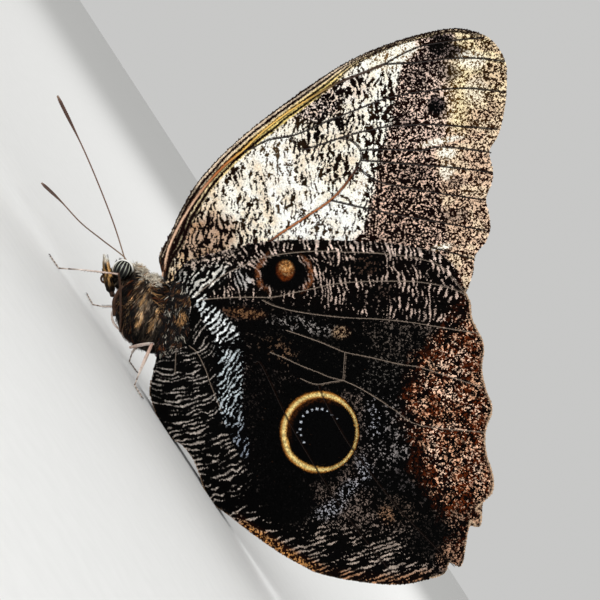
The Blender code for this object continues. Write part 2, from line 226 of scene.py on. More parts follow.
HINDWING_OUTLINE = smooth_path((
    (14.2, 14.6), (11.9, 18.6), (12.4, 22), (14, 27.2), (15.6, 31.7), (18.6, 37.4), (23.4, 44.7),
    (29.6, 53),
    (35.2, 58.2), (39.4, 59.2), (43.2, 58.5), (45.6, 58.1), (47.5, 57), (49.8, 56.6), (52.3, 56.3),
    (54.2, 55.3),
    (56.1, 53.7), (58.1, 52.7), (60.6, 51.9), (63, 51.4), (64.4, 50.3), (65.7, 48.5), (67.6, 46.9),
    (70.1, 45.7),
    (72.4, 45.1), (74.5, 44.3), (76.2, 42.8), (76.9, 40.4), (79.9, 38), (79, 36.2), (81.6, 33.7),
    (84.1, 31.1),
    (82.5, 29.8), (83.6, 27.8), (83, 25.2), (81, 20.2), (76.6, 14.4), (71.5, 9.2), (68.1, 7.1), (64, 5),
    (58.4, 2.8), (53.4, 1.2), (50.6, 0.1), (48, 0.1), (45.4, 0.8), (42, 1.5), (38.6, 1.2), (36.2, 0.1),
    (33, 0.1),
    (29.6, 0.8), (26.7, 2.2), (21.4, 7.6)), 7, closed=True)
FOREWING_OUTLINE[:, 1] = np.maximum(FOREWING_OUTLINE[:, 1], 0.05)
HINDWING_OUTLINE[:, 1] = np.maximum(HINDWING_OUTLINE[:, 1], 0.05)


def forewing_outwards(x, z):
    """Distance from the middle: half a millimetre, and two more near the root, easing out over 16 mm."""
    near = 1 - ease(0, 16, np.hypot(x - FOREWING_ROOT[0], z - FOREWING_ROOT[1]))
    return 0.55 + 2.15 * near


def hindwing_outwards(x, z):
    """Distance from the middle: outside the forewing, bulging over the abdomen and tucked in below it."""
    ax, az, bx, bz = 16.0, 11.5, 44.0, 6.0
    t = np.clip(((x - ax) * (bx - ax) + (z - az) * (bz - az)) / ((bx - ax) ** 2 + (bz - az) ** 2), 0, 1)
    near = 1 - ease(4, 19, np.hypot(x - ax - t * (bx - ax), z - az - t * (bz - az)))
    tuck = 1.3 * near * (1 - ease(0, 6, z))
    return 1.22 + 3.25 * near - tuck


def add_piece(name, points, faces, material, colours=None, bake=None, replaces=(), smooth=True):
    """New mesh object from arrays of points, faces, colours for each point and places on the bake map."""
    faces = [faces] if isinstance(faces, np.ndarray) else faces
    corners = np.concatenate([part.reshape(-1) for part in faces]).astype(np.int32)
    counts = np.concatenate([np.full(len(part), part.shape[1]) for part in faces]).astype(np.int32)
    mesh = bpy.data.meshes.new(name)
    mesh.vertices.add(len(points))
    mesh.vertices.foreach_set("co", points.astype(np.float32).reshape(-1))
    mesh.loops.add(len(corners))
    mesh.loops.foreach_set("vertex_index", corners)
    mesh.polygons.add(len(counts))
    mesh.polygons.foreach_set("loop_start", np.concatenate([[0], np.cumsum(counts)[:-1]]).astype(np.int32))
    mesh.polygons.foreach_set("use_smooth", np.full(len(counts), smooth))
    if colours is not None:
        layer = mesh.color_attributes.new("pigment", "FLOAT_COLOR", "POINT")
        layer.data.foreach_set("color", np.c_[colours, np.ones(len(points))].astype(np.float32).reshape(-1))
    if bake is not None:
        layer = mesh.uv_layers.new(name="OFBake")
        layer.data.foreach_set("uv", bake[corners].astype(np.float32).reshape(-1))
    mesh.update(calc_edges=True)
    mesh.validate()
    piece = add_object(name, mesh)
    mesh.materials.append(material)
    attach(piece, "root")
    if replaces:
        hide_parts(*replaces)
    return piece


def grid_faces(rows, columns, first=0, wrap=True):
    """Quads between neighbouring rows of points, round from the last column to the first if wrapped."""
    i, j = np.meshgrid(np.arange(rows - 1), np.arange(columns if wrap else columns - 1), indexing="ij")
    i, j = i.reshape(-1), j.reshape(-1)
    k = (j + 1) % columns
    corners = [i * columns + j, i * columns + k, (i + 1) * columns + k, (i + 1) * columns + j]
    return np.stack(corners, 1) + first


def wing_sheet(outline, hub, outwards, side, rings=44, half=0.05):
    """Closed sheet: the outline shrunk towards its hub in rings, on two faces 0.1 mm apart."""
    share = np.linspace(1, 0, rings, endpoint=False)[:, None, None]
    plane = (np.asarray(hub) + share * (outline - hub)).reshape(-1, 2)
    plane = np.vstack([plane, hub])
    middle = outwards(plane[:, 0], plane[:, 1])
    points = np.vstack([place(plane[:, 0], middle + step, plane[:, 1], side) for step in (half, -half)])
    n, count = len(outline), len(plane)
    outer = grid_faces(rings, n)
    fan = np.arange(n)
    last = (rings - 1) * n
    outer_fan = np.stack([last + fan, last + (fan + 1) % n, np.full(n, count - 1)], 1)
    rim = np.stack([fan, fan + count, (fan + 1) % n + count, (fan + 1) % n], 1)
    quads = np.vstack([outer, outer[:, ::-1] + count, rim])
    triangles = np.vstack([outer_fan, outer_fan[:, ::-1] + count])
    if side == LEFT:
        quads, triangles = quads[:, ::-1], triangles[:, ::-1]
    return points, [quads, triangles], np.vstack([plane, plane])


def pigment_material(name, roughness, specular, mottle_scale, mottle, bump_scale, bump):
    """Chitin, scale or hair: the mesh's own pigment, mottled by fine noise, over a grained surface."""
    material, tree, shader = new_material(name, roughness, specular)
    pigment = tree.nodes.new("ShaderNodeAttribute")
    pigment.attribute_name = "pigment"
    where = {"Vector": tree.nodes.new("ShaderNodeTexCoord").outputs["Object"]}
    cloud = add_node(tree, "ShaderNodeTexNoise", {"Scale": mottle_scale, "Detail": 3.0}, where)
    shade = add_ramp(tree, cloud.outputs["Fac"], ((1 - mottle,) * 3, (1.0,) * 3), (0.3, 0.7))
    mix = tree.nodes.new("ShaderNodeMix")
    mix.data_type = "RGBA"
    mix.blend_type = "MULTIPLY"
    mix.inputs["Factor"].default_value = 1.0
    tree.links.new(pigment.outputs["Color"], mix.inputs["A"])
    tree.links.new(shade, mix.inputs["B"])
    tree.links.new(mix.outputs["Result"], shader.inputs["Base Color"])
    grain = add_node(tree, "ShaderNodeTexNoise", {"Scale": bump_scale, "Detail": 2.0}, where)
    height = {"Height": grain.outputs["Fac"]}
    relief = add_node(tree, "ShaderNodeBump", {"Strength": bump, "Distance": 0.00004}, height)
    tree.links.new(relief.outputs["Normal"], shader.inputs["Normal"])
    return material


def tone(red, green, blue):
    """Screen colour on the 0 to 255 scale as linear light: the fraction to the power 2.2."""
    return (np.array((red, green, blue), float) / 255.0) ** 2.2


def lattice(i, j, seed):
    """Repeatable number from 0 to 1 at each whole-number point, by multiplying and folding its bits."""
    n = (i.astype(np.int64) * 374761393 + j.astype(np.int64) * 668265263 + seed * 1274126177) & 0xFFFFFFFF
    n = ((n ^ (n >> 13)) * 1274126177) & 0xFFFFFFFF
    n = n ^ (n >> 16)
    return n / 4294967296.0


def noise(x, y, seed):
    """Smooth noise from 0 to 1: lattice values blended between the four corners of each unit square."""
    i, j = np.floor(x), np.floor(y)
    s, t = x - i, y - j
    s, t = s * s * (3 - 2 * s), t * t * (3 - 2 * t)
    low = lattice(i, j, seed) * (1 - s) + lattice(i + 1, j, seed) * s
    high = lattice(i, j + 1, seed) * (1 - s) + lattice(i + 1, j + 1, seed) * s
    return low * (1 - t) + high * t


def rough(x, y, seed):
    """Three octaves of noise, each half as strong and twice as fine as the last."""
    return (noise(x, y, seed) * 4 + noise(2 * x, 2 * y, seed + 1) * 2 + noise(4 * x, 4 * y, seed + 2)) / 7


def spread(values, middle, width):
    """Noise turned into an even share from 0 to 1: a logistic curve about its middle."""
    return 1 / (1 + np.exp(-(values - middle) / width))


def oval(u, v, centre, size, tilt=0.0):
    """Distance from a centre in units of an ellipse's half sizes, the ellipse tilted by degrees."""
    a = np.radians(tilt)
    du, dv = u - centre[0], v - centre[1]
    along = du * np.cos(a) + dv * np.sin(a)
    across = -du * np.sin(a) + dv * np.cos(a)
    return np.hypot(along / size[0], across / size[1])


def linear(hue):
    """Three screen values as linear light; an array is linear light already."""
    return tone(*hue) if isinstance(hue, tuple) else hue


def cover(colour, new, weight):
    """Blend towards a new colour by a weight for each point."""
    colour = linear(colour)
    return colour + (linear(new) - colour) * np.clip(weight, 0, 1)[:, None]


def lay(fields, weight, ground, pale, share, texture):
    """Blend each field, which are ground, pale colour, share of pale and texture, by a patch's weight."""
    weight = np.clip(weight, 0, 1)
    fields[0] = cover(fields[0], ground, weight)
    fields[1] = cover(fields[1], pale, weight)
    fields[2] = fields[2] + (share - fields[2]) * weight
    fields[3] = fields[3] + (texture - fields[3]) * weight


def scaled(fields, softness=0.04):
    """Ground or pale at each point: pale where the texture is above one less its share."""
    ground, pale, share, texture = fields
    return cover(ground, pale, ease(1 - share - softness, 1 - share + softness, texture))


def patches(u, v, ragged):
    """Function that gives the weight of a soft-edged ellipse at every point."""
    def patch(centre, size, tilt=0.0, soft=0.35):
        """One less the eased rise of the distance in half sizes, with a fifth of the ragged noise added."""
        return 1 - ease(1 - soft, 1 + soft, oval(u, v, centre, size, tilt) + 0.2 * ragged)

    return patch


# The plane of each closed wing in its own millimetres: u from the wing root towards the hindmost
# corner of the pair, v up towards the tip of the forewing, at 57 degrees to the body's own axes.
WING_PLANE_X = 11.48
WING_PLANE_Z = 13.37
ACROSS = math.cos(ROLL)
ALONG = math.sin(ROLL)


def to_plane(x, z):
    """Place on the wing plane, turned about the wing root through the camera's roll."""
    x, z = x - WING_PLANE_X, z - WING_PLANE_Z
    return ACROSS * x + ALONG * z, -ALONG * x + ACROSS * z


def from_plane(u, v):
    """Place on the insect of a point on the wing plane."""
    u, v = np.asarray(u), np.asarray(v)
    return WING_PLANE_X + ACROSS * u - ALONG * v, WING_PLANE_Z + ALONG * u + ACROSS * v


# Forewing markings, in millimetres on the wing plane. The veins come first, each from root to edge.
FORE_VEINS = {
    "radial": ((0.9, 0.72), (1.8, 5.04), (3.24, 8.64), (5.76, 13.14), (8.64, 17.1), (12.06, 20.7),
               (15.3, 23.4), (18.72, 26.64), (22.86, 29.88), (27.36, 32.76), (31.86, 35.28), (36.36, 37.08),
               (40.68, 38.88)),
    "radial_upper": ((40.68, 38.88), (43.56, 40.5), (47.16, 42.12), (50.76, 42.84), (54.72, 43.38),
                     (58.68, 43.74)),
    "radial_lower": ((40.68, 38.88), (46.26, 39.24), (52.56, 39.96), (57.96, 39.96), (62.46, 39.42)),
    "upper_cell": ((14.76, 23.04), (16.92, 23.76), (19.8, 25.2), (23.76, 25.92), (26.46, 26.82),
                   (29.16, 28.08), (34.56, 30.24), (41.76, 32.94), (48.96, 34.2), (56.16, 34.56),
                   (62.64, 33.84)),
    "cell_hook": ((23.76, 25.74), (24.84, 24.3), (26.1, 23.58), (28.8, 24.3), (32.76, 25.56),
                  (36.36, 26.64), (41.76, 27.72), (48.06, 28.08), (54.36, 27.72), (61.2, 27.18)),
    "cell_end": ((32.4, 25.56), (34.56, 25.2), (36.18, 23.76), (36.54, 22.14), (35.82, 20.52)),
    "middle": ((36.36, 23.4), (41.76, 23.58), (47.16, 23.4), (49.86, 23.94), (52.56, 23.94),
               (60.12, 23.04)),
    "third": ((36.36, 21.6), (43.56, 21.06), (52.56, 20.34), (60.12, 19.44)),
    "fourth": ((35.82, 20.34), (39.06, 18), (43.56, 16.92), (50.76, 15.66), (59.04, 14.4)),
    "cubitus": ((19.8, 6.84), (22.86, 9), (26.46, 11.34), (30.96, 14.4), (33.66, 17.28), (35.82, 20.34)),
    "fifth": ((30.96, 14.4), (36.36, 13.14), (43.56, 11.7), (50.76, 10.44), (59.58, 8.82)),
    "sixth": ((48.96, 5.94), (52.56, 5.04), (56.88, 3.78)),
}
FORE_STEMS = ("radial", "cubitus")
STRIPES_WIDTH = 2.88
FORE_EDGE = smooth_path(((0.0, 0.0), (0.36, 3.24), (1.8, 7.2), (3.96, 12.24), (7.02, 17.46), (11.52, 22.5),
                         (16.56, 27), (21.96, 31.14), (27.36, 34.92), (32.76, 38.52), (38.16, 41.22),
                         (43.56, 43.2), (48.96, 44.64), (53.46, 45.36), (57.06, 44.64)))

# Dark spots of the disc: centre, half sizes, tilt, strength and share of pale scales.
DISC_SPOTS = (
    ((9.72, 13.5), (2.52, 2.88), 0, 0.8, 0.72), ((6.48, 10.08), (2.52, 2.52), 0, 1.0, 0.22),
    ((3.6, 6.12), (2.52, 3.96), -20, 1.0, 0.24), ((7.56, 6.48), (5.76, 2.34), 8, 1.0, 0.34),
    ((14.76, 7.56), (4.32, 2.16), 5, 0.9, 0.46), ((16.56, 11.88), (1.62, 2.88), 20, 0.8, 0.55),
    ((14.04, 18.36), (1.62, 1.8), 0, 0.9, 0.50), ((18, 18), (1.08, 4.32), 15, 0.9, 0.58),
    ((25.38, 20.7), (1.08, 4.68), 15, 0.9, 0.58), ((28.8, 22.32), (2.88, 1.8), 10, 0.8, 0.56),
    ((32.76, 20.16), (3.6, 2.34), 30, 0.9, 0.48), ((19.8, 11.88), (1.08, 3.24), 30, 0.8, 0.62),
    ((20.52, 27.54), (2.52, 1.44), 30, 0.7, 0.6), ((23.76, 14.4), (1.62, 2.52), 25, 0.8, 0.70),
    ((30.96, 27), (6.48, 3.06), 18, 0.95, 0.34), ((30.6, 12.24), (1.62, 2.88), 10, 0.8, 0.60),
    ((25.56, 9.72), (2.16, 2.16), 0, 0.5, 0.64))

# Dark spots along the ochre band: centre, half sizes, tilt and strength.
BAND_DARK_SPOTS = (
    ((51.84, 41.4), (3.6, 1.62), -8, 0.95), ((50.4, 43.74), (3.24, 0.72), -8, 0.9),
    ((52.2, 37.44), (2.16, 1.62), 0, 0.6), ((48.06, 39.24), (2.88, 1.62), 0, 0.5),
    ((50.04, 31.32), (1.62, 1.8), 0, 1.0), ((46.26, 36.36), (2.16, 1.62), 0, 0.5),
    ((43.92, 28.44), (2.52, 1.44), 0, 0.5), ((53.46, 11.7), (2.34, 1.26), 0, 0.5),
    ((53.82, 17.64), (1.98, 1.08), 0, 0.4), ((45.36, 19.44), (3.6, 1.44), 0, 0.35))

# Pale spots of the same kind.
BAND_PALE_SPOTS = (
    ((50.76, 25.02), (3.96, 0.54), 12, 0.9), ((51.84, 22.86), (1.62, 1.08), 0, 0.9),
    ((51.84, 19.44), (1.26, 1.44), 0, 0.7), ((50.76, 5.94), (1.8, 0.54), 10, 0.9),
    ((41.94, 40.68), (4.32, 2.16), 28, 1.8), ((56.16, 39.6), (2.52, 1.62), 0, 0.7),
    ((57.06, 34.2), (2.16, 2.16), 0, 0.4))


def fore_paint(u, v):
    """Forewing underside: cream disc with dark squiggles, lilac brown outer half, ochre edge."""
    ragged = (rough(u / 1.6, v / 1.6, 11) - 0.5) * 2
    grain = spread(0.22 * noise(u / 0.5, v / 0.5, 21) + 0.78 * noise(u / 0.19, v / 0.19, 22), 0.5, 0.09)
    warped_u = u + 1.3 * (rough(u / 2.2, v / 2.2, 31) - 0.5)
    warped_v = v + 1.3 * (rough(u / 2.2, v / 2.2, 34) - 0.5)
    squiggle = 0.60 * noise(warped_u / 0.30, warped_v / 0.86, 41)
    squiggle = spread(squiggle + 0.40 * noise(warped_u / 0.18, warped_v / 0.28, 42), 0.5, 0.085)
    bars = 0.65 * noise(warped_u / 0.36, warped_v / 1.5, 47)
    bars = spread(bars + 0.35 * noise(warped_u / 0.18, warped_v / 0.24, 48), 0.5, 0.09)
    blob = patches(u, v, ragged)
    # Cream disc, dark towards the root, with its dark and pale spots.
    fields = [(52, 38, 24), (255, 254, 244), 0.77, squiggle]
    lay(fields, 0.75 * blob((22.86, 17.1), (5.4, 9), 20, 0.5), (84, 68, 48), (255, 255, 252), 0.83,
        squiggle)
    base = ease(14.4, 4.32, u + 0.5 * ragged)
    lay(fields, base, (28, 14, 8), (232, 206, 172), 0.53, squiggle)
    for centre, size, tilt, strength, share in DISC_SPOTS:
        lay(fields, strength * blob(centre, size, tilt, 0.5), (20, 9, 4), (244, 232, 212), share, squiggle)
    lay(fields, blob((8.1, 7.56), (6.12, 3.96), 20, 0.4), (15, 5, 3), (190, 160, 136), 0.38, squiggle)
    lay(fields, blob((29.16, 31.68), (5.04, 2.7), 28, 0.3), (13, 4, 3), (244, 224, 212), 0.19, grain)
    lay(fields, blob((31.32, 27.54), (6.12, 1.44), 17, 0.4), (15, 7, 3), (250, 242, 228), 0.40, bars)
    lay(fields, blob((34.92, 34.56), (3.96, 2.34), 25, 0.4), (18, 8, 4), (244, 232, 220), 0.44, squiggle)
    # The outer half is lilac brown, edged inwards by a broken dark bar.
    edge_v = (6.3, 11.7, 16.2, 20.16, 23.4, 27, 30.6, 35.1, 39.6, 42.3)
    edge_u = (34.38, 35.1, 36.72, 38.52, 39.96, 40.32, 40.86, 42.3, 43.02, 43.92)
    edge_at = np.interp(v, edge_v, edge_u)
    outer = ease(-1.1, 1.2, u - edge_at + 1.5 * ragged)
    deep = ease(28.8, 16.2, v)
    lay(fields, outer, (24, 9, 5), (248, 218, 200), 0.215, grain)
    lay(fields, outer * deep, (19, 6, 3), (236, 200, 178), 0.16, grain)
    bar_at = np.interp(v, (7.2, 19.8, 27, 36, 41.4), (35.28, 37.08, 39.6, 41.04, 42.48))
    bar = (1 - ease(1.26, 2.7, np.abs(u - bar_at) + 0.8 * ragged)) * ease(5.4, 9.9, v)
    lay(fields, bar, (26, 14, 7), (255, 252, 240), 0.46, squiggle)
    wedge = blob((30.6, 10.08), (8.64, 4.32), 8, 0.25) * ease(-1.44, 0.36, edge_at - u)
    lay(fields, wedge, (58, 46, 34), (255, 255, 250), 0.72, squiggle)
    lay(fields, 0.95 * blob((36.36, 16.92), (0.9, 3.96), -14, 0.4), (150, 130, 104), (255, 255, 250), 0.9,
        grain)
    # An ochre band runs just inside the outer edge, with dark and pale spots along it.
    sub_v = (-1.8, 5.4, 14.4, 23.4, 27, 30.6, 34.2, 39.6, 44.1)
    sub_u = (52.92, 52.02, 50.94, 49.68, 52.56, 52.92, 54, 54.36, 53.46)
    sub = ease(-0.7, 1.0, u - np.interp(v, sub_v, sub_u) + 1.3 * ragged)
    high = ease(23.4, 39.6, v)[:, None]
    cells = spread(rough(u / 2.4, v / 2.0, 71), 0.5, 0.09)
    sub_ground = tone(40, 20, 11) * (1 - high) + tone(62, 42, 18) * high
    sub_pale = tone(240, 206, 176) * (1 - high) + tone(255, 236, 190) * high
    lay(fields, sub, sub_ground, sub_pale, 0.40, grain)
    lay(fields, 0.55 * sub * ease(0.5, 0.8, cells), (30, 12, 6), (222, 186, 156), 0.32, grain)
    lay(fields, 0.5 * sub * ease(0.45, 0.2, cells), (72, 48, 26), (255, 236, 200), 0.52, grain)
    crest = np.exp(-((u - 53.82) / 1.98) ** 2) * ease(25.2, 28.44, v) * ease(44.28, 41.76, v)
    lay(fields, 0.7 * crest, (104, 76, 36), (255, 240, 190), 0.60, grain)
    for centre, size, tilt, darkness in BAND_DARK_SPOTS:
        lay(fields, darkness * blob(centre, size, tilt), (5, 3, 4), (110, 96, 94), 0.11, grain)
    for centre, size, tilt, paleness in BAND_PALE_SPOTS:
        lay(fields, paleness * blob(centre, size, tilt, 0.4), (120, 94, 60), (255, 253, 240), 0.80, grain)
    colour = scaled(fields)
    tint = spread(rough(u / 1.2, v / 1.2, 61), 0.56, 0.04) * (1 - outer)
    colour = cover(colour, colour * np.array((0.88, 0.68, 0.42)), (0.28 + 0.30 * base) * tint)
    # Gold stripes follow the leading edge.
    depth, share = path_distance(u, v, FORE_EDGE)
    width_at, widths = (0, 0.1, 0.45, 0.62, 0.7, 0.8, 1), (0.55, 1.0, 1.0, 0.85, 0.44, 0.32, 0.28)
    phase = depth / (STRIPES_WIDTH * np.interp(share, width_at, widths))
    wander = 1.6 * (noise(share * 24, phase * 1.5, 81) - 0.5)
    wave = 0.5 + 0.5 * np.cos(2 * np.pi * (phase * 3.5 - 0.42) + wander)
    gold_at, golds = (0, 0.2, 0.36, 0.43, 0.62, 0.68, 0.8, 1), (0.1, 0.3, 0.8, 1.0, 1.0, 0.45, 0.3, 0.25)
    gold = np.interp(share, gold_at, golds) * ease(0.3, 0.55, phase)
    wave = wave * (0.95 - 0.50 * ease(0.34, 0.10, share)) * (1 - 0.38 * ease(0.66, 0.80, share))
    light = tone(255, 226, 140) * gold[:, None] + tone(238, 214, 186) * (1 - gold)[:, None]
    flicker = 0.6 + 0.7 * noise(share * 30, phase * 6, 86)
    streak = wave * (0.55 + 0.75 * noise(share * 260, depth * 7, 83)) * flicker
    stripe = cover((22, 8, 4), light, ease(0.30, 0.82, streak))
    stripe = cover(stripe, (26, 10, 6), 0.9 * ease(0.25, 0.11, depth))
    colour = cover(colour, stripe, 1 - ease(0.92, 1.06, phase))
    return colour


def stem_tint(name, share):
    """Colour along a stem vein: pinkish core by the base, gold half way along, dark brown beyond."""
    if name == "cubitus":
        return cover((58, 30, 17), (176, 104, 54), ease(0.0, 0.15, share) * ease(1.0, 0.55, share))
    tint = cover((222, 180, 150), (176, 104, 54), ease(0.24, 0.38, share))
    tint = cover(tint, (232, 186, 98), ease(0.40, 0.52, share))
    return cover(tint, (60, 38, 24), ease(0.68, 0.86, share))


def fore_veins(colour, u, v):
    """Vein lines: dark outside, gold to orange on the stems near the base."""
    for name, path in FORE_VEINS.items():
        d, s = path_distance(u, v, smooth_path(path, 4))
        if name in FORE_STEMS:
            width = 0.18 if name == "cubitus" else 0.27 - 0.13 * ease(0.3, 0.8, s)
            colour = cover(colour, (34, 15, 8), 0.9 * (1 - ease(width, width + 0.22, d)))
            colour = cover(colour, stem_tint(name, s), 1 - ease(width * 0.3, width, d))
        else:
            colour = cover(colour, (26, 13, 8), 0.95 * (1 - ease(0.09, 0.22, d)))
    return colour


# Hindwing markings on the same plane: veins, then the outer, lower and leading edges.
HIND_VEINS = {
    "first": ((6.84, -2.88), (8.46, -1.44), (11.52, 0.72), (14.76, 2.34), (18.72, 3.96), (23.76, 4.86),
              (29.16, 5.22), (33.66, 5.04), (39.06, 4.86), (45.36, 4.14), (50.76, 2.52), (54.9, -1.98)),
    "second": ((7.56, -3.6), (11.16, -3.24), (15.66, -3.06), (20.52, -3.06), (24.12, -2.34), (27.36, -1.62),
               (32.76, -0.54), (39.96, -0.18), (47.16, -0.36), (52.56, -1.44), (55.26, -2.52)),
    "third": ((18.72, -3.6), (21.06, -4.68), (25.56, -5.76), (32.76, -6.66), (39.96, -7.02), (45.36, -7.56),
              (50.76, -8.46), (57.6, -9.54)),
    "fourth": ((23.04, -9), (28.26, -10.8), (30.96, -11.88), (33.66, -12.96), (38.16, -13.86),
               (43.56, -15.12), (47.16, -15.66), (51.66, -17.1), (58.32, -19.26)),
    "cell_side": ((33.66, -12.96), (33.48, -15.48), (33.3, -18)),
    "cell_foot": ((33.3, -18), (30.96, -18.36), (28.8, -18.72), (27.18, -18.36), (25.56, -17.64)),
    "cell_low": ((20.16, -12.96), (22.86, -14.04), (25.56, -15.3), (28.8, -16.56), (30.96, -17.46),
                 (33.3, -18)),
    "fifth": ((33.3, -18), (36.36, -19.44), (39.96, -21.6), (42.66, -23.4), (47.16, -26.1),
              (58.86, -27.36)),
    "sixth": ((28.8, -18.72), (29.34, -20.34), (32.76, -27), (36.72, -32.76), (43.56, -41.4),
              (53.46, -51.66)),
    "seventh": ((17.46, -14.76), (18.72, -15.48), (23.22, -24.84), (28.44, -33.84), (34.56, -43.2),
                (43.56, -54.54)),
    "anal": ((3.6, -10.44), (3.42, -12.6), (3.24, -16.56)),
    "inner": ((5.76, -11.7), (7.2, -12.96), (8.64, -15.84), (9.72, -18.9), (11.52, -23.4)),
}
EYESPOT_VEINS = ("sixth", "seventh")
HIND_OUTER = smooth_path(((55.08, -1.98), (55.98, -4.14), (56.16, -6.3), (57.06, -8.64), (58.32, -10.8),
                          (58.5, -12.96), (58.14, -15.3), (58.32, -17.64), (59.04, -20.16), (59.94, -22.5),
                          (59.76, -24.12), (59.04, -26.1), (58.68, -28.8), (59.04, -31.5), (59.76, -33.84),
                          (60.3, -36), (59.94, -38.16), (58.68, -39.6), (57.06, -41.04), (57.96, -41.76),
                          (57.78, -44.46), (56.16, -43.2), (55.8, -45), (55.26, -47.7), (55.08, -49.86),
                          (54.36, -51.48), (52.92, -51.48), (52.38, -50.4), (51.66, -52.56),
                          (48.96, -53.46)), 3)
HIND_LOWER = smooth_path(((48.96, -53.46), (43.56, -54.54), (39.96, -54.36), (36.36, -54), (32.76, -53.46),
                          (29.16, -52.56), (25.56, -50.94), (21.6, -48.6), (16.92, -45.18), (14.4, -43.38),
                          (11.88, -40.86), (9.36, -38.52), (8.46, -36), (7.02, -32.4), (4.86, -28.8),
                          (0.9, -25.2), (-0.9, -21.6), (-1.08, -18.9), (1.26, -9)), 4)
HIND_TOP = smooth_path(((1.26, -9), (2.16, -5.4), (4.5, 2.7), (7.56, 3.96), (12.96, 5.4), (17.46, 6.66),
                        (23.76, 7.2), (32.76, 7.02), (43.56, 6.48), (50.76, 4.68), (53.46, 1.8),
                        (55.08, -1.98)), 4)
HIND_ROOT = (1.26, -3.6)
EYESPOT_CENTRE = (28.91, -27.18)
EYESPOT_RADIUS = 7.18

# Dark squares behind the leading edge: centre, half sizes, tilt and strength.
COSTAL_SQUARES = (
    ((37.44, 2.52), (3.06, 2.16), 0, 1.0), ((40.5, -1.98), (2.34, 1.44), 0, 0.9),
    ((38.52, -3.6), (4.68, 1.44), 0, 0.6), ((30.96, 3.24), (1.08, 1.62), 0, 0.3),
    ((46.26, 3.24), (1.8, 1.08), 0, 0.5), ((35.46, -3.6), (1.08, 1.8), 0, 0.7),
    ((50.76, -4.5), (1.8, 1.44), 0, 0.4))

# Bluish white flecks beyond the eyespot: centre, half sizes, tilt and share.
BLUISH_PATCHES = (
    ((38.88, -25.2), (1.44, 3.24), 8, 0.22), ((37.08, -34.2), (1.26, 2.52), 15, 0.26),
    ((34.2, -37.26), (2.34, 1.26), 42, 0.20), ((30.96, -41.04), (3.24, 1.44), 34, 0.18))

# The crescent of dots in the large eyespot: centre and radius.
EYESPOT_DOTS = (
    ((26.1, -28.98), 0.31), ((25.56, -27.72), 0.22), ((25.38, -26.64), 0.31), ((25.56, -25.38), 0.34),
    ((25.92, -24.3), 0.27), ((26.64, -23.58), 0.34), ((27.54, -23.22), 0.25), ((28.44, -23.04), 0.36),
    ((29.34, -23.04), 0.32), ((30.24, -23.4), 0.25), ((31.14, -24.12), 0.2), ((24.84, -27.18), 0.16),
    ((32.04, -24.84), 0.14))

# Middle line of the blue white band.
BAND_LINE = smooth_path(((7.38, -3.24), (8.64, -5.4), (10.8, -7.92), (12.42, -10.8), (12.78, -14.04),
                         (12.78, -18), (12.96, -22.5), (14.04, -26.1), (15.48, -30.6)), 4)


